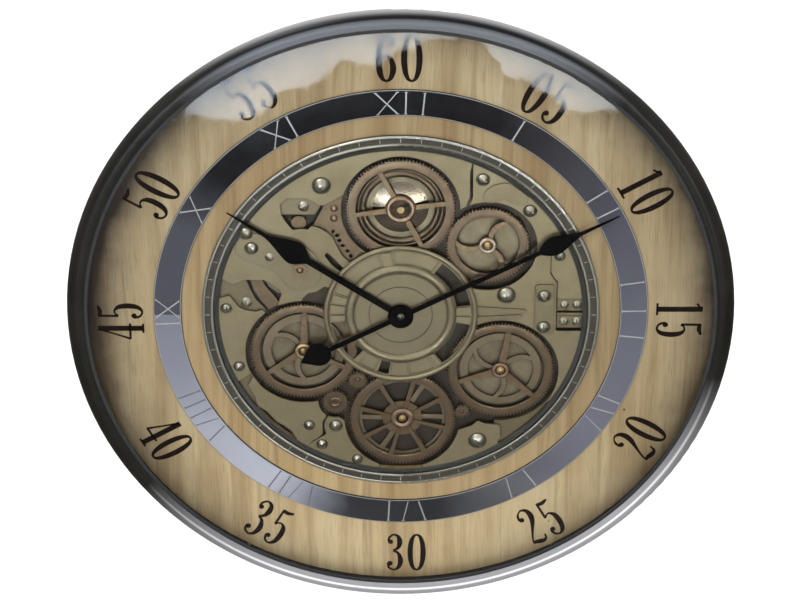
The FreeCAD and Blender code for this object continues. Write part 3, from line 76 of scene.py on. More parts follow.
# A material with nothing but its output node
def blank(name):
    m = bpy.data.materials.new(name)
    m.use_nodes = True
    nt = m.node_tree
    nt.nodes.clear()
    return m, nt, nt.nodes.new("ShaderNodeOutputMaterial")


# Links the socket to another one, or gives it a plain value
def value_of(nt, socket, value):
    if isinstance(value, bpy.types.NodeSocket):
        link(nt, value, socket)
    else:
        socket.default_value = value


def math_node(nt, operation, a, b=0.0):
    n = nt.nodes.new("ShaderNodeMath")
    n.operation = operation
    value_of(nt, n.inputs[0], a)
    value_of(nt, n.inputs[1], b)
    return n.outputs[0]


def mix_colour(nt, factor, a, b, blend="MIX"):
    n = nt.nodes.new("ShaderNodeMix")
    n.data_type = "RGBA"
    n.blend_type = blend
    n.clamp_factor = True
    value_of(nt, n.inputs["Factor"], factor)
    for name, value in (("A", a), ("B", b)):
        socket = [s for s in n.inputs if s.name == name and s.type == "RGBA"][0]
        value_of(nt, socket, value if isinstance(value, bpy.types.NodeSocket) else (*value, 1))
    return [s for s in n.outputs if s.type == "RGBA"][0]


def ramp(nt, factor, stops, interpolation="LINEAR"):
    n = nt.nodes.new("ShaderNodeValToRGB")
    link(nt, factor, n.inputs[0])
    n.color_ramp.interpolation = interpolation
    while len(n.color_ramp.elements) < len(stops):
        n.color_ramp.elements.new(0.5)
    for element, (place, _) in zip(n.color_ramp.elements, stops):
        element.position = place
    for element, (_, colour) in zip(n.color_ramp.elements, stops):
        element.color = (*colour, 1)
    return n.outputs[0]


def map_range(nt, value, low, high, to_low=0.0, to_high=1.0):
    n = nt.nodes.new("ShaderNodeMapRange")
    n.clamp = True
    link(nt, value, n.inputs["Value"])
    n.inputs["From Min"].default_value = low
    n.inputs["From Max"].default_value = high
    n.inputs["To Min"].default_value = to_low
    n.inputs["To Max"].default_value = to_high
    return n.outputs[0]


def place_of(nt):
    return nt.nodes.new("ShaderNodeTexCoord").outputs["Object"]


def split(nt, vector):
    n = nt.nodes.new("ShaderNodeSeparateXYZ")
    link(nt, vector, n.inputs[0])
    return n.outputs[0], n.outputs[1], n.outputs[2]


def combine(nt, x, y=0.0, z=0.0):
    n = nt.nodes.new("ShaderNodeCombineXYZ")
    for socket, value in zip(n.inputs, (x, y, z)):
        value_of(nt, socket, value)
    return n.outputs[0]


def scaled(nt, vector, scale):
    n = nt.nodes.new("ShaderNodeMapping")
    link(nt, vector, n.inputs["Vector"])
    n.inputs["Scale"].default_value = scale
    return n.outputs[0]


def noise(nt, vector, scale, detail, rough=0.55):
    n = nt.nodes.new("ShaderNodeTexNoise")
    link(nt, vector, n.inputs["Vector"])
    n.inputs["Scale"].default_value = scale
    n.inputs["Detail"].default_value = detail
    n.inputs["Roughness"].default_value = rough
    return n.outputs["Fac"]


# A noise as a swing of this width about zero
def swing(nt, value, width):
    return math_node(nt, "MULTIPLY", math_node(nt, "SUBTRACT", value, 0.5), width)


# Distance in metres from an axis through the face at (x, y) millimetres
def axis_distance(nt, vector, centre=(0.0, 0.0)):
    x, _, z = split(nt, vector)
    dx = math_node(nt, "SUBTRACT", x, centre[0] * MM)
    dz = math_node(nt, "SUBTRACT", z, centre[1] * MM)
    total = math_node(nt, "ADD", math_node(nt, "MULTIPLY", dx, dx), math_node(nt, "MULTIPLY", dz, dz))
    return math_node(nt, "SQRT", total)


def bump(nt, height, strength, distance):
    n = nt.nodes.new("ShaderNodeBump")
    n.inputs["Strength"].default_value = strength
    n.inputs["Distance"].default_value = distance
    link(nt, height, n.inputs["Height"])
    return n.outputs[0]


# Painted shade in corners and under edges, from ambient occlusion
def painted_recess_shade(nt, distance):
    n = nt.nodes.new("ShaderNodeAmbientOcclusion")
    n.samples = RECESS_SAMPLES
    n.inputs["Distance"].default_value = distance
    return n.outputs["AO"]


def shader(name, sheen=0.5):
    m, nt, out = blank(name)
    bsdf = nt.nodes.new("ShaderNodeBsdfPrincipled")
    bsdf.inputs["Specular IOR Level"].default_value = sheen
    link(nt, bsdf.outputs[0], out.inputs["Surface"])
    return m, nt, bsdf


# A colour times a number
def times(nt, colour, value):
    n = nt.nodes.new("ShaderNodeCombineColor")
    for i in range(3):
        link(nt, value, n.inputs[i])
    return mix_colour(nt, 1.0, colour, n.outputs[0], "MULTIPLY")


# Metal with a cloudy patina, fine grain, painted shade in its recesses and an uneven gloss
def metal(name, colour, dark, metallic, rough, depth, patina=0.5, grain=1500.0, cloud=28.0, bump_strength=0.12,
          sheen=0.5):
    m, nt, bsdf = shader(name, sheen)
    place = place_of(nt)
    clouds = noise(nt, place, cloud, 5.0, 0.6)
    fine = noise(nt, place, grain, 3.0, 0.6)
    low = mix_colour(nt, map_range(nt, clouds, 0.35, 0.7), colour, dark)
    base = mix_colour(nt, patina, colour, low)
    speckle = map_range(nt, fine, 0.3, 0.7, 0.88, 1.1)
    toned = times(nt, base, speckle)
    # painted shade in the recesses, reaching as far as depth
    if depth:
        shade = map_range(nt, painted_recess_shade(nt, depth), 0.35, 0.95)
        toned = mix_colour(nt, shade, tuple(c * PAINTED_RECESS_SHADE for c in dark), toned)
    link(nt, toned, bsdf.inputs["Base Color"])
    bsdf.inputs["Metallic"].default_value = metallic
    link(nt, map_range(nt, clouds, 0.3, 0.75, rough * 0.82, rough * 1.25), bsdf.inputs["Roughness"])
    link(nt, bump(nt, fine, bump_strength, 0.0001), bsdf.inputs["Normal"])
    return m


# Moulded plastic or rubber with a fine spark-eroded grain
def plastic(name, colour, rough):
    m, nt, bsdf = shader(name)
    place = place_of(nt)
    fine = noise(nt, place, 900.0, 4.0, 0.6)
    cloud = noise(nt, place, 14.0, 3.0)
    tone = map_range(nt, cloud, 0.3, 0.7, 0.85, 1.15)
    link(nt, times(nt, colour, tone), bsdf.inputs["Base Color"])
    link(nt, map_range(nt, fine, 0.3, 0.7, rough * 0.85, rough * 1.15), bsdf.inputs["Roughness"])
    link(nt, bump(nt, fine, 0.25, 0.00015), bsdf.inputs["Normal"])
    return m


# Outer radius of the strip of wood inside the mirror band, in metres
STRIP_RADIUS = 0.1995


# Dial wood with upright grain, burnt dark towards its rim
def wood():
    m, nt, bsdf = shader("dial_wood", 0.15)
    place = place_of(nt)
    x, _, z = split(nt, place)
    radius = axis_distance(nt, place)
    warp = noise(nt, scaled(nt, place, (1.0, 1.0, 0.25)), 9.0, 3.0)
    moved = nt.nodes.new("ShaderNodeVectorMath")
    moved.operation = "ADD"
    link(nt, place, moved.inputs[0])
    link(nt, combine(nt, swing(nt, warp, 0.03)), moved.inputs[1])
    grain_place = moved.outputs[0]
    broad = noise(nt, scaled(nt, grain_place, (1.0, 1.0, 0.045)), 38.0, 3.0, 0.5)
    streaks = noise(nt, scaled(nt, grain_place, (1.0, 1.0, 0.03)), 190.0, 4.0, 0.62)
    pores = noise(nt, scaled(nt, grain_place, (1.0, 1.0, 0.05)), 900.0, 2.0, 0.6)
    blotch = noise(nt, place, 11.0, 3.0)
    light = (0.53, 0.413, 0.240)
    mid = (0.43, 0.317, 0.170)
    dark = (0.27, 0.180, 0.085)
    colour = ramp(nt, broad, [(0.28, dark), (0.45, mid), (0.62, light), (0.8, (0.58, 0.475, 0.300))])
    colour = mix_colour(nt, map_range(nt, streaks, 0.48, 0.70, 0.0, 0.65), colour, dark)
    colour = mix_colour(nt, map_range(nt, pores, 0.54, 0.72, 0.0, 0.5), colour, (0.17, 0.115, 0.06))
    colour = mix_colour(nt, map_range(nt, blotch, 0.45, 0.75, 0.0, 0.3), colour, (0.57, 0.475, 0.310))
    # warmer strip between the mirror band and the track, darker at the right
    warm = mix_colour(nt, map_range(nt, broad, 0.35, 0.65), (0.355, 0.225, 0.097), (0.465, 0.335, 0.165))
    warm = mix_colour(nt, map_range(nt, streaks, 0.45, 0.68, 0.0, 0.6), warm, (0.22, 0.13, 0.055))
    inside = math_node(nt, "LESS_THAN", radius, STRIP_RADIUS)
    warm = times(nt, warm, map_range(nt, x, -0.19, 0.19, 1.02, 0.80))
    colour = mix_colour(nt, math_node(nt, "MULTIPLY", inside, 0.72), colour, warm)
    # paler towards the foot and the middle of the dial
    tone = map_range(nt, z, -0.26, 0.2, 1.20, 0.89)
    off_axis = math_node(nt, "ABSOLUTE", x)
    tone = math_node(nt, "MULTIPLY", tone, map_range(nt, off_axis, 0.06, 0.25, 1.04, 0.88))
    colour = times(nt, colour, tone)
    # dark burnt rim, stronger at the sides, most at the left and least at the foot
    side = math_node(nt, "DIVIDE", off_axis, math_node(nt, "ADD", radius, TINY))
    wobble = noise(nt, place, 26.0, 3.0)
    edge = math_node(nt, "ADD", radius, swing(nt, wobble, 0.02))
    edge = math_node(nt, "ADD", edge, map_range(nt, x, -0.10, -0.25, 0.0, 0.008))
    burnt = math_node(nt, "POWER", map_range(nt, edge, 0.240, 0.283), 1.4)
    amount = math_node(nt, "MULTIPLY", burnt, map_range(nt, side, 0.0, 0.9, 0.4, 1.0))
    amount = math_node(nt, "MULTIPLY", amount, map_range(nt, z, -0.22, 0.0, 0.45, 1.0))
    colour = mix_colour(nt, amount, colour, (0.030, 0.018, 0.009))
    # stray dark specks
    cells = nt.nodes.new("ShaderNodeTexVoronoi")
    cells.inputs["Scale"].default_value = 21.0
    link(nt, combine(nt, x, z), cells.inputs["Vector"])
    ragged = math_node(nt, "ADD", cells.outputs["Distance"], math_node(nt, "MULTIPLY", pores, 0.02))
    speck = math_node(nt, "LESS_THAN", ragged, 0.034)
    colour = mix_colour(nt, math_node(nt, "MULTIPLY", speck, 0.85), colour, (0.05, 0.035, 0.02))
    link(nt, colour, bsdf.inputs["Base Color"])
    link(nt, map_range(nt, streaks, 0.3, 0.7, 0.42, 0.6), bsdf.inputs["Roughness"])
    link(nt, bump(nt, pores, 0.18, 0.0002), bsdf.inputs["Normal"])
    return m


# The mirror band's ground edges, in metres: light lines between these radii, dark beyond them
BAND_INNER = (0.1981, 0.1988)
BAND_OUTER = (0.2219, 0.2227)


# Dark mirror, with the reflections round the dial painted into its colour
def mirror():
    m, nt, bsdf = shader("dark_mirror", 0.12)
    place = place_of(nt)
    x, _, z = split(nt, place)
    radius = axis_distance(nt, place)
    around = nt.nodes.new("ShaderNodeTexGradient")
    around.gradient_type = "RADIAL"
    link(nt, combine(nt, x, z), around.inputs[0])
    turn = math_node(nt, "ADD", around.outputs["Fac"], swing(nt, noise(nt, place, 14.0, 3.0), 0.05))
    # painted reflection: pale blue-grey at the lower left, dark at the foot, grey at the right and near black at the
    # top
    # 0 and 1 are at the left, 0.25 at the bottom, 0.5 at the right, 0.75 at the top
    reflection_tint = ramp(nt, turn, [
        (0.0, (0.220, 0.223, 0.275)), (0.05, (0.285, 0.290, 0.355)), (0.105, (0.43, 0.44, 0.52)),
        (0.15, (0.51, 0.52, 0.60)), (0.185, (0.26, 0.27, 0.32)), (0.215, (0.030, 0.030, 0.036)),
        (0.27, (0.020, 0.020, 0.024)), (0.315, (0.085, 0.086, 0.098)), (0.40, (0.190, 0.190, 0.235)),
        (0.49, (0.155, 0.157, 0.195)), (0.565, (0.100, 0.100, 0.125)), (0.625, (0.050, 0.048, 0.056)),
        (0.68, (0.012, 0.011, 0.012)), (0.82, (0.009, 0.008, 0.009)), (0.885, (0.012, 0.011, 0.012)),
        (0.935, (0.085, 0.086, 0.105))])
    cloud = noise(nt, place, 60.0, 3.0)
    reflection_tint = mix_colour(nt, map_range(nt, cloud, 0.35, 0.7, 0.0, 0.05), reflection_tint, (0.10, 0.11, 0.15))
    for low, high, edge_tint in ((BAND_INNER[1], BAND_OUTER[0], (0.36, 0.35, 0.335)),
                                 (BAND_INNER[0], BAND_OUTER[1], (0.030, 0.027, 0.024))):
        beyond = math_node(nt, "MAXIMUM", math_node(nt, "GREATER_THAN", radius, high),
                           math_node(nt, "LESS_THAN", radius, low))
        reflection_tint = mix_colour(nt, beyond, reflection_tint, edge_tint)
    link(nt, reflection_tint, bsdf.inputs["Base Color"])
    bsdf.inputs["Metallic"].default_value = 0.05
    smear = noise(nt, place, 35.0, 4.0, 0.65)
    link(nt, map_range(nt, smear, 0.3, 0.75, 0.07, 0.16), bsdf.inputs["Roughness"])
    return m


# Clear pane: it lets light through and mirrors a little, more at a low angle
def pane():
    m, nt, out = blank("clear_glass")
    clear = nt.nodes.new("ShaderNodeBsdfTransparent")
    clear.inputs["Color"].default_value = (0.985, 0.992, 0.990, 1)
    gloss = nt.nodes.new("ShaderNodeBsdfGlossy")
    gloss.inputs["Color"].default_value = (0.94, 0.97, 1.0, 1)
    place = place_of(nt)
    smear = noise(nt, place, 9.0, 4.0, 0.6)
    link(nt, map_range(nt, smear, 0.3, 0.8, 0.004, 0.02), gloss.inputs["Roughness"])
    edge = nt.nodes.new("ShaderNodeFresnel")
    edge.inputs["IOR"].default_value = 1.18
    mix = nt.nodes.new("ShaderNodeMixShader")
    link(nt, edge.outputs[0], mix.inputs[0])
    link(nt, clear.outputs[0], mix.inputs[1])
    link(nt, gloss.outputs[0], mix.inputs[2])
    link(nt, mix.outputs[0], out.inputs["Surface"])
    return m


GEAR_METALLIC = 0.85
GEAR_ROUGH = 0.36
# How far the painted shade in a gear's recesses reaches, in metres
GEAR_SHADE_REACH = 0.0013


# A gear whose rim, web, hub and centre have their own tones, by distance from its axis, with painted shade in its
# recesses
def gear_metal(name, centre, zones):
    m, nt, bsdf = shader(name)
    place = place_of(nt)
    radius = axis_distance(nt, place, centre)
    share = math_node(nt, "MULTIPLY", radius, WORKS_RAMP)
    tone = ramp(nt, share, [(r * MM * WORKS_RAMP, c) for r, c in zones], "CONSTANT")
    clouds = noise(nt, place, 70.0, 4.0, 0.6)
    fine = noise(nt, place, 1700.0, 3.0, 0.6)
    tone = mix_colour(nt, map_range(nt, clouds, 0.40, 0.72, 0.0, 0.55), tone, (0.10, 0.062, 0.034))
    rust = noise(nt, place, 150.0, 3.0, 0.65)
    tone = mix_colour(nt, map_range(nt, rust, 0.50, 0.66, 0.0, 0.5), tone, (0.185, 0.098, 0.050))
    speckle = map_range(nt, fine, 0.3, 0.7, 0.80, 1.18)
    tone = times(nt, tone, speckle)
    # painted shade in the gear's recesses and between its teeth
    shade = map_range(nt, painted_recess_shade(nt, GEAR_SHADE_REACH), 0.3, 0.95)
    tone = mix_colour(nt, shade, (0.020, 0.013, 0.008), tone)
    link(nt, tone, bsdf.inputs["Base Color"])
    bsdf.inputs["Metallic"].default_value = GEAR_METALLIC
    link(nt, map_range(nt, clouds, 0.3, 0.75, GEAR_ROUGH * 0.8, GEAR_ROUGH * 1.3), bsdf.inputs["Roughness"])
    link(nt, bump(nt, fine, 0.14, 0.0001), bsdf.inputs["Normal"])
    return m


# Where the base plate shows clear of painted shade, between spokes: gear axis, inner radius of the rim in
# millimetres, and how pale
GEAR_FIELDS = ((TOP_GEAR, 40.0, 1.0), (UPPER_RIGHT, 28.8, 1.0), (LOWER_RIGHT, 40.0, 0.8), (LOWER_LEFT, 40.0, 0.7))


# Base plate: bronze where it shows between a gear's spokes, and painted shade, nearly black, in the gaps between
# gears and plates and in its recesses
def floor_metal():
    m, nt, bsdf = shader("dark_bronze")
    place = place_of(nt)
    clear = None
    for centre, reach, share in GEAR_FIELDS:
        inside = math_node(nt, "LESS_THAN", axis_distance(nt, place, centre), reach * MM)
        inside = math_node(nt, "MULTIPLY", inside, share)
        clear = inside if clear is None else math_node(nt, "MAXIMUM", clear, inside)
    clouds = noise(nt, place, 40.0, 5.0, 0.6)
    fine = noise(nt, place, 1500.0, 3.0, 0.6)
    low = map_range(nt, clouds, 0.35, 0.7)
    # pale bronze where a gear's spokes show the plate, painted shade elsewhere
    light = mix_colour(nt, low, (0.24, 0.195, 0.115), (0.15, 0.118, 0.065))
    dark = mix_colour(nt, low, (0.050, 0.034, 0.019), (0.022, 0.015, 0.009))
    tone = times(nt, mix_colour(nt, clear, dark, light), map_range(nt, fine, 0.3, 0.7, 0.86, 1.12))
    # painted shade in the recesses
    shade = map_range(nt, painted_recess_shade(nt, 0.006), 0.35, 0.95)
    tone = mix_colour(nt, shade, (0.012, 0.008, 0.005), tone)
    link(nt, tone, bsdf.inputs["Base Color"])
    bsdf.inputs["Metallic"].default_value = 0.5
    link(nt, map_range(nt, clouds, 0.3, 0.75, 0.36, 0.55), bsdf.inputs["Roughness"])
    link(nt, bump(nt, fine, 0.12, 0.0001), bsdf.inputs["Normal"])
    return m


# Steel track ring with turned steps of their own tones, and painted shade on its inner ledge and along its outer edge
def track_metal():
    m, nt, bsdf = shader("track_steel")
    place = place_of(nt)
    radius = axis_distance(nt, place)
    # painted shade below 168.3 mm and beyond 178.4 mm; the dark step between 172.0 and 176.2 mm is the track
    steps = ((0.0, (0.030, 0.026, 0.019)), (0.1683, (0.33, 0.31, 0.25)), (0.1720, (0.050, 0.046, 0.036)),
             (0.1762, (0.38, 0.36, 0.30)), (0.1784, (0.045, 0.040, 0.032)))
    share = math_node(nt, "MULTIPLY", radius, TRACK_RAMP)
    tone = ramp(nt, share, [(r * TRACK_RAMP, c) for r, c in steps], "CONSTANT")
    rings = noise(nt, polar_place(nt, place), 1.0, 4.0, 0.7)
    tone = mix_colour(nt, map_range(nt, rings, 0.3, 0.75, 0.0, 0.4), tone, (0.16, 0.16, 0.15))
    link(nt, tone, bsdf.inputs["Base Color"])
    bsdf.inputs["Metallic"].default_value = 0.75
    link(nt, map_range(nt, rings, 0.3, 0.75, 0.28, 0.42), bsdf.inputs["Roughness"])
    link(nt, bump(nt, rings, 0.1, 0.0001), bsdf.inputs["Normal"])
    return m


RINGS = 1600.0  # how closely turned rings lie, per metre


# Coordinates that run round the hands' axis, so that noise becomes turned or brushed rings
def polar_place(nt, place):
    x, y, z = split(nt, place)
    radius = axis_distance(nt, place)
    across = math_node(nt, "MULTIPLY", math_node(nt, "ADD", radius, y), RINGS)
    return combine(nt, math_node(nt, "DIVIDE", x, radius), math_node(nt, "DIVIDE", z, radius), across)


# Heights on the bezel, 1 at its top and -1 at its foot, where the painted highlight of the foot begins and where it
# covers the bezel all over
FOOT_START = -0.42
FOOT_FULL = -0.86
# A thin painted highlight line on the foot, at this radius
HIGHLIGHT_LINE = 0.2905  # radius in metres


# Dark turned gunmetal, with the highlights and shade that the light casts round the clock painted into its colour
def bezel_metal():
    m, nt, bsdf = shader("gunmetal", 0.12)
    place = place_of(nt)
    rings = noise(nt, polar_place(nt, place), 1.4, 4.0, 0.7)
    clouds = noise(nt, place, 18.0, 4.0, 0.6)
    x, _, z = split(nt, place)
    radius = axis_distance(nt, place)
    # 1 at the top of the clock, -1 at its foot
    lean = math_node(nt, "DIVIDE", z, math_node(nt, "ADD", radius, TINY))
    tone = mix_colour(nt, map_range(nt, clouds, 0.35, 0.7), (0.014, 0.013, 0.0105), (0.007, 0.0065, 0.005))
    tone = mix_colour(nt, map_range(nt, rings, 0.35, 0.75, 0.0, 0.3), tone, (0.026, 0.025, 0.021))
    # painted highlight: bright towards the foot, a little more at the right, with a thin bright line
    turned = math_node(nt, "SUBTRACT", lean, math_node(nt, "MULTIPLY", x, 0.75))
    foot = map_range(nt, turned, FOOT_START, FOOT_FULL)
    lighter_part = mix_colour(nt, map_range(nt, rings, 0.35, 0.75), (0.37, 0.37, 0.38), (0.27, 0.27, 0.28))
    off_line = math_node(nt, "ABSOLUTE", math_node(nt, "SUBTRACT", radius, HIGHLIGHT_LINE))
    lighter_part = mix_colour(nt, map_range(nt, off_line, 0.0006, 0.0016, 1.0, 0.0), lighter_part, (0.90, 0.90, 0.92))
    tone = mix_colour(nt, foot, tone, lighter_part)
    # at the top painted light and shade: a grey inner lip, a dark line and a pale edge
    crown = ramp(nt, map_range(nt, radius, 0.2835, 0.3005), [
        (0.0, (0.150, 0.158, 0.172)), (0.58, (0.088, 0.094, 0.104)), (0.65, (0.006, 0.006, 0.008)),
        (0.76, (0.006, 0.006, 0.008)), (0.82, (0.050, 0.050, 0.052)), (0.97, (0.30, 0.30, 0.30))])
    tone = mix_colour(nt, map_range(nt, lean, 0.74, 0.93), tone, crown)
    link(nt, tone, bsdf.inputs["Base Color"])
    link(nt, map_range(nt, turned, FOOT_START, FOOT_FULL, 0.15, 0.25), bsdf.inputs["Metallic"])
    link(nt, map_range(nt, rings, 0.3, 0.75, 0.24, 0.36), bsdf.inputs["Roughness"])
    link(nt, bump(nt, rings, 0.06, 0.0001), bsdf.inputs["Normal"])
    return m


DOME_RADIUS = 0.026  # metres


# Polished dome behind the top gear, and the duller rings round it
def dome_metal():
    m, nt, bsdf = shader("polished_chrome")
    place = place_of(nt)
    radius = axis_distance(nt, place, TOP_GEAR)
    steps = ((0.0, (0.20, 0.162, 0.118)), (0.0265, (0.10, 0.073, 0.046)), (0.0345, (0.16, 0.12, 0.076)))
    share = math_node(nt, "MULTIPLY", radius, WORKS_RAMP)
    tone = ramp(nt, share, [(r * WORKS_RAMP, c) for r, c in steps], "CONSTANT")
    clouds = noise(nt, place, 90.0, 3.0)
    tone = mix_colour(nt, map_range(nt, clouds, 0.4, 0.75, 0.0, 0.35), tone, (0.20, 0.15, 0.10))
    link(nt, tone, bsdf.inputs["Base Color"])
    bsdf.inputs["Metallic"].default_value = 1.0
    dull = math_node(nt, "GREATER_THAN", radius, DOME_RADIUS)
    link(nt, math_node(nt, "ADD", math_node(nt, "MULTIPLY", dull, 0.14), 0.24), bsdf.inputs["Roughness"])
    return m


# Printed paint, a little worn
def printed(name, colour, rough, sheen=0.12):
    m, nt, bsdf = shader(name, sheen)
    place = place_of(nt)
    fine = noise(nt, place, 420.0, 4.0, 0.7)
    lighter_part = map_range(nt, fine, 0.60, 0.72, 0.0, 0.35)
    tone = mix_colour(nt, lighter_part, colour, tuple(min(1.0, c * 2.5 + 0.02) for c in colour))
    link(nt, tone, bsdf.inputs["Base Color"])
    link(nt, map_range(nt, fine, 0.3, 0.7, rough * 0.85, rough * 1.2), bsdf.inputs["Roughness"])
    return m


BRONZE = metal("bronze", (0.240, 0.192, 0.107), (0.155, 0.120, 0.062), 0.55, 0.40, depth=0.0034)
# Darker copy of the bronze for the top plate: painted shade
TOP_BRONZE_SHADED = metal("top_bronze_painted_shade", (0.215, 0.171, 0.094), (0.140, 0.109, 0.055), 0.55, 0.42, depth=0.0034)
RAISED = metal("raised_bronze", (0.205, 0.164, 0.091), (0.138, 0.109, 0.057), 0.55, 0.38, depth=0.0020)
# Darker copy of the bronze for the sunk plates: painted shade
SUNK_BRONZE_SHADED = metal("sunk_bronze_painted_shade", (0.175, 0.138, 0.075), (0.10, 0.077, 0.040), 0.55, 0.42, depth=0.0035)
COPPER = metal("copper", (0.165, 0.115, 0.065), (0.085, 0.056, 0.030), 0.7, 0.42, depth=0.0036, cloud=90.0)
RIVET = metal("rivet_copper", (0.27, 0.175, 0.105), (0.15, 0.095, 0.052), 0.85, 0.3, depth=0.0015, cloud=90.0)
SPIDER = metal("spider_bronze", (0.235, 0.188, 0.108), (0.15, 0.118, 0.062), 0.55, 0.41, depth=0.0030)
PALE = metal("pale_bronze", (0.220, 0.180, 0.106), (0.165, 0.133, 0.076), 0.6, 0.38, depth=0.0016, patina=0.6)
BRASS = metal("brass", (0.48, 0.36, 0.17), (0.28, 0.2, 0.09), 0.9, 0.32, depth=0.0020)
IDLER = metal("idler_bronze", (0.125, 0.085, 0.048), (0.065, 0.042, 0.023), 0.75, 0.40, depth=0.0024)
SCREW = metal("screw_steel", (0.40, 0.365, 0.285), (0.24, 0.215, 0.155), 0.95, 0.33, depth=0.0026,
              bump_strength=0.05)
STEEL = metal("plain_steel", (0.52, 0.52, 0.50), (0.36, 0.36, 0.35), 1.0, 0.28, depth=0.0020)
BLACK_STEEL = metal("black_steel", (0.035, 0.035, 0.038), (0.02, 0.02, 0.022), 0.4, 0.42, depth=0.0)
HAND = metal("hand_black", (0.0030, 0.0024, 0.0024), (0.0018, 0.0014, 0.0014), 0.0, 0.5, depth=0.0,
             grain=900.0, bump_strength=0.2, sheen=0.03)
RUBBER = plastic("black_rubber", (0.006, 0.006, 0.006), 0.62)
INLAY = printed("black_enamel", (0.062, 0.053, 0.039), 0.42)
PLASTIC = plastic("black_plastic", (0.028, 0.028, 0.030), 0.48)
KNOB = plastic("white_plastic", (0.66, 0.65, 0.62), 0.42)
MOTOR = plastic("motor_plastic", (0.10, 0.10, 0.105), 0.45)
CELL = printed("cell_label", (0.06, 0.17, 0.10), 0.3)
INK = printed("numeral_ink", (0.012, 0.007, 0.005), 0.5, 0.03)
SILVER_INK = metal("numeral_silver", (0.42, 0.42, 0.415), (0.31, 0.31, 0.31), 0.3, 0.40, depth=0.0, cloud=120.0,
                   patina=0.6, sheen=0.2)
# Darker copy of the silver for the numerals over the bright part of the mirror: painted shade
SHADED_SILVER_INK = metal("numeral_silver_painted_shade", (0.17, 0.17, 0.18), (0.10, 0.10, 0.11), 0.3, 0.40, depth=0.0, cloud=120.0,
                 patina=0.6, sheen=0.2)
TICK_INK = printed("tick_white", (0.40, 0.385, 0.32), 0.45)
WASHER = metal("dark_washer", (0.075, 0.062, 0.040), (0.03, 0.025, 0.016), 0.7, 0.45, depth=0.0015)
WOOD = wood()
MIRROR = mirror()
PANE = pane()
TRACK = track_metal()
BEZEL = bezel_metal()
FLOOR = floor_metal()
DOME = dome_metal()

# Tones of the gears' zones: upper gears' rims and teeth, lower gears' rims and teeth, spokes, hubs and arbors
RIM = (0.165, 0.121, 0.078)
TOOTH = (0.155, 0.112, 0.072)
GROOVE = (0.085, 0.060, 0.038)
LOW_RIM = (0.165, 0.119, 0.073)
LOW_TOOTH = (0.155, 0.110, 0.066)
WEB = (0.20, 0.142, 0.080)
HUB = (0.36, 0.25, 0.17)
PIN = (0.48, 0.34, 0.15)
# near black: painted shade of the hollow round a pin
HOLLOW_SHADE = (0.010, 0.009, 0.008)

# Each zone starts at its radius in millimetres; the dark ring from 3.3 mm is painted shade of the hollow round the
# pin
TOP_GEAR_METAL = gear_metal("top_gear_metal", TOP_GEAR, [
    (0.0, PIN), (3.3, HOLLOW_SHADE), (8.4, HUB), (13.6, WEB), (39.6, RIM), (46.0, GROOVE), (46.5, TOOTH)])
UPPER_RIGHT_METAL = gear_metal("upper_right_metal", UPPER_RIGHT, [
    (0.0, PIN), (3.3, (0.09, 0.06, 0.035)), (4.5, (0.50, 0.40, 0.31)), (7.9, (0.27, 0.19, 0.11)), (28.2, RIM),
    (34.4, GROOVE), (34.9, TOOTH)])
LOWER_RIGHT_METAL = gear_metal("lower_right_metal", LOWER_RIGHT, [
    (0.0, PIN), (3.3, (0.08, 0.05, 0.03)), (4.5, (0.30, 0.185, 0.12)), (7.9, (0.22, 0.155, 0.09)), (39.6, LOW_RIM),
    (46.0, GROOVE), (46.5, LOW_TOOTH)])
LOWER_LEFT_METAL = gear_metal("lower_left_metal", LOWER_LEFT, [
    (0.0, PIN), (3.3, (0.08, 0.05, 0.03)), (4.5, (0.50, 0.36, 0.18)), (7.9, (0.22, 0.155, 0.09)), (39.6, LOW_RIM),
    (46.0, GROOVE), (46.5, LOW_TOOTH)])
BOTTOM_METAL = gear_metal("bottom_gear_metal", BOTTOM, [
    (0.0, PIN), (3.3, HOLLOW_SHADE), (5.2, (0.27, 0.175, 0.115)), (10.6, (0.19, 0.132, 0.076)), (39.6, LOW_RIM),
    (46.0, GROOVE), (46.5, LOW_TOOTH)])
BACK_WHEEL = metal("back_wheel_bronze", (0.21, 0.16, 0.10), (0.12, 0.09, 0.05), 0.8, 0.4, depth=0.0025)

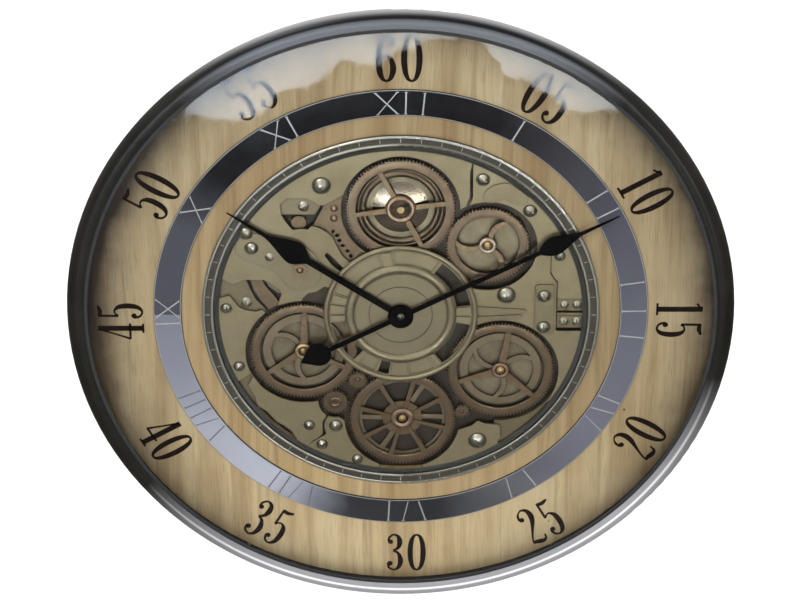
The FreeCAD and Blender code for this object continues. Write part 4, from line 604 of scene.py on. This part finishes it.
LOOKS = {
    "bezel_ring": BEZEL, "glass_gasket": RUBBER, "front_glass": PANE, "case_tray": BLACK_STEEL, "dial_board": WOOD,
    "mirror_band": MIRROR, "track_ring": TRACK, "track_inlay": INLAY, "base_plate": FLOOR, "top_plate": TOP_BRONZE_SHADED,
    "upper_right_plate": BRONZE, "right_plate": BRONZE, "left_plate": BRONZE, "lower_left_plate": BRONZE,
    "bottom_left_plate": BRONZE, "lower_right_plate": BRONZE, "raised_plates": RAISED, "sunk_plates": SUNK_BRONZE_SHADED,
    "copper_straps": COPPER, "centre_spider": SPIDER, "centre_disc": PALE, "centre_ring": PALE,
    "plate_posts": BRASS, "large_screws": SCREW, "plate_screws": SCREW, "rivets": RIVET, "case_screws": STEEL,
    "top_dome": DOME, "arbor_bushes": BRASS, "top_gear": TOP_GEAR_METAL, "upper_right_gear": UPPER_RIGHT_METAL,
    "lower_right_gear": LOWER_RIGHT_METAL, "bottom_gear": BOTTOM_METAL, "lower_left_gear": LOWER_LEFT_METAL,
    "lower_right_back_wheel": BACK_WHEEL, "bottom_back_wheel": BACK_WHEEL, "lower_left_back_wheel": BACK_WHEEL,
    "left_idler": IDLER, "lower_idler": IDLER, "transfer_gear": BRASS, "lower_right_back_gear": BRASS,
    "upper_right_back_gear": BRASS, "drive_pinion": IDLER, "hour_hand": HAND, "hour_tube": BRASS,
    "minute_hand": HAND, "minute_arbor": SCREW, "quartz_case": PLASTIC, "fixing_bush": BRASS, "fixing_nut": BRASS,
    "set_knob": KNOB, "chassis_plate": BLACK_STEEL, "chassis_pillars": STEEL, "gear_motor": MOTOR,
    "battery_box": PLASTIC, "battery_cells": CELL, "battery_door": PLASTIC, "switch_slider": PLASTIC,
    "rear_cover": PLASTIC, "hanger_plate": STEEL,
}

SMOOTH = 0.52  # radians: edges sharper than this stay crisp
BROKEN = 0.7  # radians: edges sharper than this are broken
WELD = 0.000002  # metres

PLATES = ("top_plate", "upper_right_plate", "right_plate", "left_plate", "lower_left_plate", "bottom_left_plate",
          "lower_right_plate", "raised_plates")

# Nodes with broad flat faces, whose shading follows those faces
FLAT = {*PLATES, "sunk_plates", "copper_straps", "centre_spider", "centre_disc", "centre_ring", "top_gear",
        "upper_right_gear", "lower_right_gear", "bottom_gear", "lower_left_gear", "lower_right_back_wheel",
        "bottom_back_wheel", "lower_left_back_wheel", "left_idler", "lower_idler", "drive_pinion", "base_plate",
        "hour_hand", "minute_hand", "rear_cover", "case_tray", "track_ring"}

# Width of the broken edges, in metres
BEVELS = {**dict.fromkeys(PLATES, 0.0003), "hour_hand": 0.00025, "minute_hand": 0.00025}


def dress(node, material):
    o = NODES[node]
    if not o.material_slots:
        o.data.materials.append(material)
    for s in o.material_slots:
        s.material = material
    for p in o.data.polygons:
        p.use_smooth = True
    weld = o.modifiers.new("weld", "WELD")
    weld.merge_threshold = WELD
    if node in BEVELS:
        b = o.modifiers.new("bevel", "BEVEL")
        b.width = BEVELS[node]
        b.segments = 1
        b.limit_method = "ANGLE"
        b.angle_limit = BROKEN
        b.harden_normals = False
    crisp = o.modifiers.new("split", "EDGE_SPLIT")
    crisp.split_angle = SMOOTH
    crisp.use_edge_sharp = False
    if node in FLAT:
        w = o.modifiers.new("flat", "WEIGHTED_NORMAL")
        w.mode = "FACE_AREA"
        w.weight = 50
        w.keep_sharp = False


for node, look in LOOKS.items():
    dress(node, look)


# ---- new pieces
def add_piece(name, mesh, material, body):
    o = bpy.data.objects.new(name, mesh)
    bpy.context.scene.collection.objects.link(o)
    mesh.materials.append(material)
    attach(o, body)


def mesh_of(name, verts, faces, smooth=False):
    m = bpy.data.meshes.new(name)
    m.from_pydata([tuple(v) for v in verts], [], faces)
    m.validate()
    m.update()
    for p in m.polygons:
        p.use_smooth = smooth
    return m


# Flat strip laid on a surface: left and right edges of a path, raised a little, with closed sides
def strip(verts, faces, left, right, low, high):
    start = len(verts)
    count = len(left)
    for z in (low, high):
        for (x, y) in left:
            verts.append(at(x, y, z))
        for (x, y) in right:
            verts.append(at(x, y, z))
    top = start + 2 * count
    for i in range(count - 1):
        faces.append((top + i, top + count + i, top + count + i + 1, top + i + 1))
        faces.append((start + i, top + i, top + i + 1, start + i + 1))
        faces.append((start + count + i + 1, top + count + i + 1, top + count + i, start + count + i))
    faces.append((start, start + count, top + count, top))
    last = count - 1
    faces.append((start + last, top + last, top + count + last, start + count + last))


PAD_SIDES = 20


# Round spot laid on a surface in the same way
def pad(verts, faces, cx, cy, radius, low, high):
    start = len(verts)
    top = start + PAD_SIDES
    for z in (low, high):
        for i in range(PAD_SIDES):
            a = 2 * math.pi * i / PAD_SIDES
            verts.append(at(cx + radius * math.cos(a), cy + radius * math.sin(a), z))
    faces.append(tuple(top + i for i in range(PAD_SIDES)))
    for i in range(PAD_SIDES):
        j = (i + 1) % PAD_SIDES
        faces.append((start + i, start + j, top + j, top + i))


# Smooth path through points, with this many samples between each pair
def through(points, samples, closed=False):
    out = []
    n = len(points)
    spans = n if closed else n - 1
    for i in range(spans):
        p1 = points[i]
        p2 = points[(i + 1) % n]
        p0 = points[(i - 1) % n] if closed or i else p1
        p3 = points[(i + 2) % n] if closed or i + 2 < n else p2
        for s in range(samples):
            t = s / samples
            out.append(tuple(0.5 * ((2 * b) + (c - a) * t + (2 * a - 5 * b + 4 * c - d) * t * t
                                    + (3 * b - a - 3 * c + d) * t ** 3)
                             for a, b, c, d in zip(p0, p1, p2, p3)))
    out.append(tuple(points[0] if closed else points[-1]))
    return out


# Strokes of the minute figures: (x, y, half width) in a box 17 wide and 42 high
HAIR = 1.05
STEM = 2.35
BOX_MIDDLE = (8.5, 21.0)
WIDEN = 1.11
# The figure 0: half its width and height, how squarely it bends, and how late its stroke swells
RING_ACROSS = 5.7
RING_UP = 20.2
RING_BEND = 0.86
RING_SWELL = 1.3
LOOP_SAMPLES = 5
LINE_SAMPLES = 7


def ring():
    points = []
    for i in range(16):
        a = math.radians(90 + i * 22.5)
        half = HAIR + (STEM - HAIR) * abs(math.cos(a)) ** RING_SWELL
        aside = math.copysign(RING_ACROSS * abs(math.cos(a)) ** RING_BEND, math.cos(a))
        points.append((BOX_MIDDLE[0] + aside, BOX_MIDDLE[1] + RING_UP * math.sin(a), half))
    return points


# The figures' closed and open strokes and their round spots (x, y, radius)
FIGURES = {
    "0": {"loops": [ring()]},
    "1": {"lines": [[(8.7, 0.6, STEM), (8.7, 14, STEM), (8.7, 28, STEM), (8.7, 41.6, STEM)],
                    [(3.2, 0.6, HAIR), (14.2, 0.6, HAIR)],
                    [(3.4, 36.2, HAIR), (6.0, 38.3, 0.9), (8.7, 41.2, 1.1)]]},
    "2": {"lines": [[(2.4, 31.8, HAIR), (3.0, 36.6, HAIR), (5.4, 40.2, 0.7), (8.6, 41.4, HAIR),
                     (12.2, 38.6, 1.8), (13.2, 32.4, STEM), (11.8, 26.0, 2.1), (8.8, 19.4, 1.4),
                     (5.4, 12.4, 0.95), (3.2, 6.6, 0.8), (2.6, 2.2, 0.8)],
                    [(2.4, 2.6, 0.9), (4.6, 3.4, 1.9), (8.0, 2.3, STEM), (11.2, 1.6, 2.0),
                     (13.9, 3.0, 1.1), (15.0, 7.6, 0.7)]],
          "balls": [(4.3, 31.6, 2.5)]},
    "3": {"lines": [[(2.8, 33.8, HAIR), (3.8, 38.4, HAIR), (7.4, 41.4, HAIR), (11.4, 39.0, 1.7),
                     (12.6, 32.6, STEM), (11.2, 26.4, 1.7), (7.0, 22.8, HAIR)],
                    [(7.0, 22.8, HAIR), (11.2, 20.0, 1.4), (13.3, 12.0, STEM), (11.8, 4.2, 1.8),
                     (7.6, 0.8, HAIR), (3.2, 3.4, HAIR), (2.2, 8.2, HAIR)]],
          "balls": [(4.6, 33.2, 2.4), (4.0, 8.2, 2.6)]},
    "4": {"lines": [[(11.4, 0.6, STEM), (11.4, 14, STEM), (11.4, 28, STEM), (11.4, 41.4, STEM)],
                    [(7.2, 0.6, HAIR), (15.6, 0.6, HAIR)], [(1.5, 12.4, HAIR), (16.0, 12.4, HAIR)],
                    [(1.7, 12.4, HAIR), (6.4, 27.0, 0.75), (10.6, 40.8, 0.9)]]},
    "5": {"lines": [[(4.0, 22.6, HAIR), (4.1, 32.0, HAIR), (4.2, 41.0, HAIR)],
                    [(4.0, 39.9, 1.5), (8.4, 39.0, 2.0), (13.6, 41.0, 1.0)],
                    [(4.0, 22.6, HAIR), (6.4, 25.4, 0.8), (9.4, 25.6, 1.1), (12.4, 21.6, 2.0),
                     (13.3, 13.2, STEM), (11.8, 4.6, 1.9), (7.8, 0.9, HAIR), (3.6, 3.2, HAIR),
                     (2.3, 8.4, HAIR)]],
          "balls": [(4.1, 8.4, 2.5)]},
    "6": {"lines": [[(14.1, 34.0, HAIR), (12.9, 38.8, HAIR), (9.6, 41.4, HAIR), (5.6, 37.6, 1.7),
                     (3.4, 29.0, STEM), (3.0, 20.0, STEM), (3.6, 10.0, STEM), (5.4, 3.4, 1.7),
                     (8.7, 0.7, HAIR), (12.0, 3.8, 1.8), (13.6, 11.6, STEM), (12.2, 19.6, 1.8),
                     (9.2, 23.4, HAIR), (5.4, 20.6, HAIR), (4.2, 16.4, 0.8)]],
          "balls": [(12.4, 33.6, 2.4)]},
}


# Left and right edges of a stroke; a closed path ends on its first point
def offsets(path, closed=False):
    left, right = [], []
    last = len(path) - 1
    for i, (x, y, half) in enumerate(path):
        a = path[(i - 1) % last] if closed else path[max(i - 1, 0)]
        b = path[(i + 1) % last] if closed else path[min(i + 1, last)]
        dx, dy = b[0] - a[0], b[1] - a[1]
        length = math.hypot(dx, dy) or 1.0
        nx, ny = -dy / length, dx / length
        left.append((x + nx * half, y + ny * half))
        right.append((x - nx * half, y - ny * half))
    return left, right


# One figure, with its box's middle moved aside by shift and then put in its place on the dial
def figure(verts, faces, digit, shift, place, low, high):
    def put(p):
        return place((p[0] - BOX_MIDDLE[0]) * WIDEN + shift, p[1] - BOX_MIDDLE[1])

    strokes = FIGURES[digit]
    for loop in strokes.get("loops", ()):
        path = through(loop, LOOP_SAMPLES, closed=True)
        left, right = offsets(path, closed=True)
        strip(verts, faces, [put(p) for p in right], [put(p) for p in left], low, high)
    for line in strokes.get("lines", ()):
        path = through(line, LINE_SAMPLES)
        left, right = offsets(path)
        strip(verts, faces, [put(p) for p in left], [put(p) for p in right], low, high)
    for x, y, radius in strokes.get("balls", ()):
        cx, cy = put((x, y))
        pad(verts, faces, cx, cy, radius, low, high)


# Radius of the minute numerals, and half the distance between their two figures, in millimetres
NUMERAL_RADIUS = 253.0
HALF_PITCH = 10.5
# How far each minute numeral sits off its even place, in millimetres, and its size
NUMERAL_SHIFTS = {
    "60": (-1.4, -1.2, 1.05), "05": (1.5, -4.9, 1.04), "10": (-2.3, -3.2, 0.99), "15": (-1.4, -5.4, 1.0),
    "20": (1.5, -3.9, 1.0), "25": (5.2, -3.8, 0.99), "30": (4.9, -4.1, 0.97), "35": (3.3, -4.8, 0.99),
    "40": (2.4, -5.4, 1.0), "45": (0.0, -7.5, 1.0), "50": (-0.7, -6.0, 1.03), "55": (-4.2, 0.0, 1.06),
}


# Puts a point of a numeral on the dial; from 20 to 40 the numerals stand with their feet to the rim
def numeral_place(index, label):
    flip = -1 if index in (4, 5, 6, 7, 8) else 1
    a = math.radians(-30 * index)
    ca, sa = math.cos(a), math.sin(a)
    aside, above, size = NUMERAL_SHIFTS[label]

    def place(x, y):
        x, y = flip * x * size, flip * y * size + NUMERAL_RADIUS
        return (x * ca - y * sa + aside, x * sa + y * ca + above)

    return place


def minute_numerals():
    for index in range(12):
        label = "%02d" % (60 if index == 0 else index * 5)
        place = numeral_place(index, label)
        verts, faces = [], []
        for shift, digit in zip((-HALF_PITCH, HALF_PITCH), label):
            figure(verts, faces, digit, shift, place, DIAL_FACE + LIFT, DIAL_FACE + INK_TOP)
        add_piece("numeral_" + label, mesh_of("numeral_" + label, verts, faces), INK, "clock")


minute_numerals()


# Thin strokes of the hour numerals, from one (radius, clock angle) to another
def stroke(verts, faces, start, end, half, low, high):
    def flat(radius, clock_angle):
        a = math.radians(90 - clock_angle)
        return (radius * math.cos(a), radius * math.sin(a))

    p, q = flat(*start), flat(*end)
    dx, dy = q[0] - p[0], q[1] - p[1]
    length = math.hypot(dx, dy)
    nx, ny = -dy / length * half, dx / length * half
    strip(verts, faces, [(p[0] + nx, p[1] + ny), (q[0] + nx, q[1] + ny)],
          [(p[0] - nx, p[1] - ny), (q[0] - nx, q[1] - ny)], low, high)


# Outer and inner ends of the hour numerals, and half widths of their strokes, in millimetres
HIGH_R = 220.6
LOW_R = 199.8
THIN = 0.42
THICK = 0.62
SERIF = 0.32
SERIF_REACH = 1.35  # half the length of a serif


def serif(verts, faces, radius, angle, low, high):
    turn = math.degrees(SERIF_REACH / radius)
    stroke(verts, faces, (radius, angle - turn), (radius, angle + turn), SERIF, low, high)


def bar(verts, faces, angle, low, high):
    stroke(verts, faces, (LOW_R, angle), (HIGH_R, angle), THICK, low, high)
    serif(verts, faces, LOW_R, angle, low, high)
    serif(verts, faces, HIGH_R, angle, low, high)


def cross(verts, faces, first, last, low, high):
    stroke(verts, faces, (HIGH_R, first), (LOW_R, last), THICK, low, high)
    stroke(verts, faces, (LOW_R, first), (HIGH_R, last), THIN, low, high)
    for angle in (first, last):
        serif(verts, faces, LOW_R, angle, low, high)
        serif(verts, faces, HIGH_R, angle, low, high)


# The two arms of a V, which stay apart at the inner edge; first and last are at the outer edge
def vee(verts, faces, first, near, far, last, low, high):
    stroke(verts, faces, (HIGH_R, first), (LOW_R, near), THICK, low, high)
    stroke(verts, faces, (LOW_R, far), (HIGH_R, last), THIN, low, high)
    for angle in (first, last):
        serif(verts, faces, HIGH_R, angle, low, high)


# Strokes of each hour numeral, by clock angle in degrees
HOURS = {
    "1": [("bar", 29.25)],
    "2": [("bar", 55.5), ("bar", 60.75)],
    "3": [("bar", 81.25), ("bar", 89.0), ("bar", 96.25)],
    "4": [("bar", 115.0), ("vee", 118.0, 119.1, 122.0, 123.5)],
    "5": [("vee", 145.3, 145.4, 150.6, 152.0)],
    "6": [("vee", 174.0, 175.2, 178.0, 179.4), ("bar", 183.0)],
    "7": [("vee", 203.0, 204.2, 207.0, 208.2), ("bar", 210.8), ("bar", 213.8)],
    "8": [("vee", 233.0, 234.2, 237.0, 238.2), ("bar", 240.6), ("bar", 243.6), ("bar", 246.6)],
    "9": [("bar", 267.5), ("cross", 269.2, 274.0)],
    "10": [("cross", 298.0, 302.6)],
    "11": [("cross", 326.6, 331.0), ("bar", 333.2)],
    "12": [("cross", -5.75, -0.75), ("bar", 1.25), ("bar", 5.5)],
}
FORMS = {"bar": bar, "cross": cross, "vee": vee}


def hour_numerals():
    low, high = BAND_TOP + LIFT, BAND_TOP + SILVER_TOP
    for label, strokes in HOURS.items():
        verts, faces = [], []
        for form, *angles in strokes:
            FORMS[form](verts, faces, *angles, low, high)
        # the numerals over the bright part of the mirror take a darker copy of the silver: painted shade
        ink = SHADED_SILVER_INK if label in ("7", "8") else SILVER_INK
        add_piece("hour_" + label, mesh_of("hour_" + label, verts, faces), ink, "clock")


hour_numerals()


# Radii between which the minute ticks run, and their half widths, in millimetres
TICK_START = 171.9
TICK_END = 175.9
HOUR_TICK = 0.42
MINUTE_TICK = 0.26


def track_ticks():
    verts, faces = [], []
    low, high = INLAY_TOP + LIFT, INLAY_TOP + TICK_TOP
    for i in range(60):
        half = HOUR_TICK if i % 5 == 0 else MINUTE_TICK
        stroke(verts, faces, (TICK_START, i * 6.0), (TICK_END, i * 6.0), half, low, high)
    add_piece("track_ticks", mesh_of("track_ticks", verts, faces), TICK_INK, "clock")


track_ticks()


WASHER_SIDES = 40


# Dished ring round a screw's head
def washer(verts, faces, centre, head, level):
    start = len(verts)
    inner, outer = head - 0.2, head + 1.3
    foot, rise = level + 0.02, level + 0.35
    profile = [(inner, foot), (inner + 0.3, rise), (outer - 0.5, rise), (outer, foot)]
    for i in range(WASHER_SIDES):
        a = 2 * math.pi * i / WASHER_SIDES
        for radius, z in profile:
            verts.append(at(centre[0] + radius * math.cos(a), centre[1] + radius * math.sin(a), z))
    n = len(profile)
    for i in range(WASHER_SIDES):
        here, there = start + i * n, start + (i + 1) % WASHER_SIDES * n
        for k in range(n - 1):
            faces.append((here + k, here + k + 1, there + k + 1, there + k))


# Places of the screws, in shares of LAYOUT
LARGE = [(-0.70, 1.295), (0.95, 0.195), (0.71, -1.335)]
MEDIUM = [(0.725, 1.355), (1.145, 1.045), (-0.595, -1.175)]
COCK = [(-1.33, 0.675), (-1.375, 0.825)]
BRACKET = [(1.29, 0.19), (1.29, -0.13)]
SMALL = [(-0.84, -1.17), (-0.725, -1.375), (-1.47, -0.545), (-0.40, -1.535), (-1.57, 0.06), (1.42, 0.595)]
# Radii of the screws' heads, in millimetres, and how high the raised plates stand over the others
HEADS = {"large": 7.2, "medium": 5.0, "small": 4.0}
RAISED_TOP = PLATE_TOP + 0.9


def washers():
    verts, faces = [], []
    for places, head, level in ((LARGE, "large", PLATE_TOP), (MEDIUM, "medium", PLATE_TOP),
                                (COCK, "medium", RAISED_TOP), (BRACKET, "medium", RAISED_TOP),
                                (SMALL, "small", PLATE_TOP)):
        for x, y in places:
            washer(verts, faces, (x * LAYOUT, y * LAYOUT), HEADS[head], level)
    add_piece("screw_washers", mesh_of("screw_washers", verts, faces, True), WASHER, "clock")


washers()


# ---- floor, light and camera
# Half sizes and heights of the floor and of the dark ground over it, in metres
FLOOR_SIZE = 12.0
FLOOR_LEVEL = -1.2
GROUND_SIZE = 8.0
GROUND_LEVEL = -1.19


def square(size, z):
    return [(-size, -size, z), (size, -size, z), (size, size, z), (-size, size, z)]


def stage_piece(name, corners, material):
    mesh = bpy.data.meshes.new(name)
    mesh.from_pydata(corners, [], [(0, 1, 2, 3)])
    o = bpy.data.objects.new(name, mesh)
    bpy.context.scene.collection.objects.link(o)
    mesh.materials.append(material)
    return o


def floor():
    m, nt, bsdf = shader("studio_floor")
    place = place_of(nt)
    fine = noise(nt, place, 3.0, 3.0)
    tone = mix_colour(nt, map_range(nt, fine, 0.3, 0.7), (0.86, 0.86, 0.86), (0.88, 0.88, 0.88))
    link(nt, tone, bsdf.inputs["Base Color"])
    bsdf.inputs["Roughness"].default_value = 0.9
    stage_piece("studio_floor", square(FLOOR_SIZE, FLOOR_LEVEL), m)


floor()


# An emitting material
def glow_shader(name):
    m, nt, out = blank(name)
    glow = nt.nodes.new("ShaderNodeEmission")
    link(nt, glow.outputs[0], out.inputs["Surface"])
    return m, nt, glow


# A stage piece that only mirrors see
def mirrored_piece(name, corners, material):
    o = stage_piece(name, corners, material)
    o.visible_camera = False
    o.visible_diffuse = False
    o.visible_transmission = False
    o.visible_shadow = False
    o.visible_volume_scatter = False


# The card stands this far in front of the wall. A point (x, y) that shows on the glass, from the camera's place, lies
# on the card at x * CARD_SCALE and y * CARD_SCALE - CARD_DROP, in metres.
CARD_PLACE = 1.06
CARD_SCALE = 1.4248
CARD_DROP = 0.559
CARD_STRENGTH = 21.0
# Points of the tree line as it shows on the glass, and the reach of its ramp, in millimetres
LINE_SIDE = 250.0
LINE_LOW = 180.0
LINE_HIGH = 300.0
TREE_LINE = [(-219, 198), (-176, 201), (-151, 194), (-119, 204), (-103, 220), (-71, 230), (-51, 252), (-23, 246),
             (0, 262), (34, 272), (64, 276), (91, 239), (109, 232), (147, 201), (182, 204), (210, 214)]
# Tree tops that stand over the line: x, y and reach
TREE_TOPS = ((65.0, 290.0, 34.0), (-190.0, 213.0, 24.0))


# A dark card in front of the clock, with a bright sky over a ragged line of trees
def reflected_card():
    m, nt, glow = glow_shader("reflected_card")
    place = place_of(nt)
    x, _, z = split(nt, place)

    def along(shown_x):
        return (shown_x + LINE_SIDE) / (2 * LINE_SIDE)

    def grey(shown_y):
        level = (shown_y - LINE_LOW) / (LINE_HIGH - LINE_LOW)
        return (level, level, level)

    leaves = noise(nt, place, 60.0, 5.0, 0.7)
    side = LINE_SIDE * MM * CARD_SCALE
    across = map_range(nt, x, -side, side)
    line = ramp(nt, across, [(along(a), grey(b)) for a, b in TREE_LINE])
    height = map_range(nt, z, LINE_LOW * MM * CARD_SCALE - CARD_DROP, LINE_HIGH * MM * CARD_SCALE - CARD_DROP)
    edge = math_node(nt, "ADD", math_node(nt, "SUBTRACT", height, line), swing(nt, leaves, 0.26))
    amount = map_range(nt, edge, 0.0, 0.05)
    leafy = noise(nt, place, 48.0, 5.0, 0.75)
    for bx, by, reach in TREE_TOPS:
        gap = axis_distance(nt, place, (bx * CARD_SCALE, by * CARD_SCALE - CARD_DROP / MM))
        near = map_range(nt, gap, 0.0, reach * MM * CARD_SCALE, 0.30, -0.12)
        spot = map_range(nt, math_node(nt, "ADD", leafy, near), 0.56, 0.62, 1.0, 0.0)
        amount = math_node(nt, "MULTIPLY", amount, spot)
    reflection_tint = mix_colour(nt, map_range(nt, x, -0.25, 0.25), (0.80, 0.88, 1.0), (0.90, 0.95, 1.0))
    # pale ground low on the glass, with a brighter strip along its upper edge at the right
    ground = map_range(nt, z, -0.800, -0.845)
    ground = mix_colour(nt, ground, (0.0028, 0.0028, 0.0030), (0.028, 0.026, 0.025))
    strip_edge = map_range(nt, math_node(nt, "ABSOLUTE", math_node(nt, "ADD", z, 0.812)), 0.012, 0.022, 0.6, 0.0)
    strip_side = map_range(nt, x, 0.02, 0.12)
    ground = mix_colour(nt, math_node(nt, "MULTIPLY", strip_edge, strip_side), ground, (0.085, 0.079, 0.075))
    tone = mix_colour(nt, amount, ground, reflection_tint)
    link(nt, tone, glow.inputs["Color"])
    glow.inputs["Strength"].default_value = CARD_STRENGTH
    half, low, high = 0.5, -1.15, -0.125
    mirrored_piece("reflected_card", [(-half, -CARD_PLACE, low), (half, -CARD_PLACE, low), (half, -CARD_PLACE, high),
                                      (-half, -CARD_PLACE, high)], m)


reflected_card()


# What polished metal mirrors in place of the pale floor
def dark_ground():
    m, nt, glow = glow_shader("dark_ground")
    cloud = noise(nt, place_of(nt), 0.8, 3.0)
    link(nt, mix_colour(nt, cloud, (0.12, 0.12, 0.115), (0.24, 0.24, 0.23)), glow.inputs["Color"])
    mirrored_piece("dark_ground", square(GROUND_SIZE, GROUND_LEVEL), m)


dark_ground()


def area_light(name, place, target, size, power, colour):
    data = bpy.data.lights.new(name, "AREA")
    data.energy = power
    data.color = colour
    data.size = size
    o = bpy.data.objects.new(name, data)
    bpy.context.scene.collection.objects.link(o)
    o.location = place
    o.rotation_mode = "QUATERNION"
    o.rotation_quaternion = (Vector(target) - Vector(place)).to_track_quat("-Z", "Y")


area_light("key", place=(-1.3, -2.0, 2.2), target=(0, 0, 0), size=0.9, power=34.0, colour=(1.0, 0.985, 0.96))

WORLD_STRENGTH = 1.45
world = bpy.data.worlds.new("studio")
bpy.context.scene.world = world
world.use_nodes = True
sky_nodes = world.node_tree
sky_height = split(sky_nodes, sky_nodes.nodes.new("ShaderNodeTexCoord").outputs["Generated"])[2]
link(sky_nodes, ramp(sky_nodes, map_range(sky_nodes, sky_height, -1.0, 1.0), [
    (0.0, (0.30, 0.30, 0.30)), (0.5, (0.45, 0.45, 0.45)), (0.62, (0.80, 0.80, 0.81)), (0.75, (1.0, 1.0, 1.0)),
    (1.0, (1.0, 1.0, 1.0))]), sky_nodes.nodes["Background"].inputs[0])
sky_nodes.nodes["Background"].inputs[1].default_value = WORLD_STRENGTH

scene = bpy.context.scene
scene.view_settings.view_transform = "Standard"

# The camera looks down by THETA at a point in front of the wall, and stands a little aside and above that line
THETA = math.radians(28.85)
AIM_DEPTH = 0.055
CAMERA_DISTANCE = 2.7
CAMERA_ASIDE = 0.00057
CAMERA_ABOVE = 0.015
FORWARD = Vector((0, math.cos(THETA), -math.sin(THETA)))
UP = Vector((0, math.sin(THETA), math.cos(THETA)))
camera = bpy.data.cameras.new("camera")
camera.lens = 135.0
camera.sensor_width = 36.0
camera.clip_start = 0.05
camera.clip_end = 60.0
camera_object = bpy.data.objects.new("camera", camera)
scene.collection.objects.link(camera_object)
spot = Vector((0, -AIM_DEPTH, 0)) - CAMERA_DISTANCE * FORWARD - Vector((CAMERA_ASIDE, 0, 0)) + CAMERA_ABOVE * UP
turn = Matrix((Vector((1, 0, 0)), UP, -FORWARD)).transposed().to_4x4()
camera_object.matrix_world = Matrix.Translation(spot) @ turn
scene.camera = camera_object
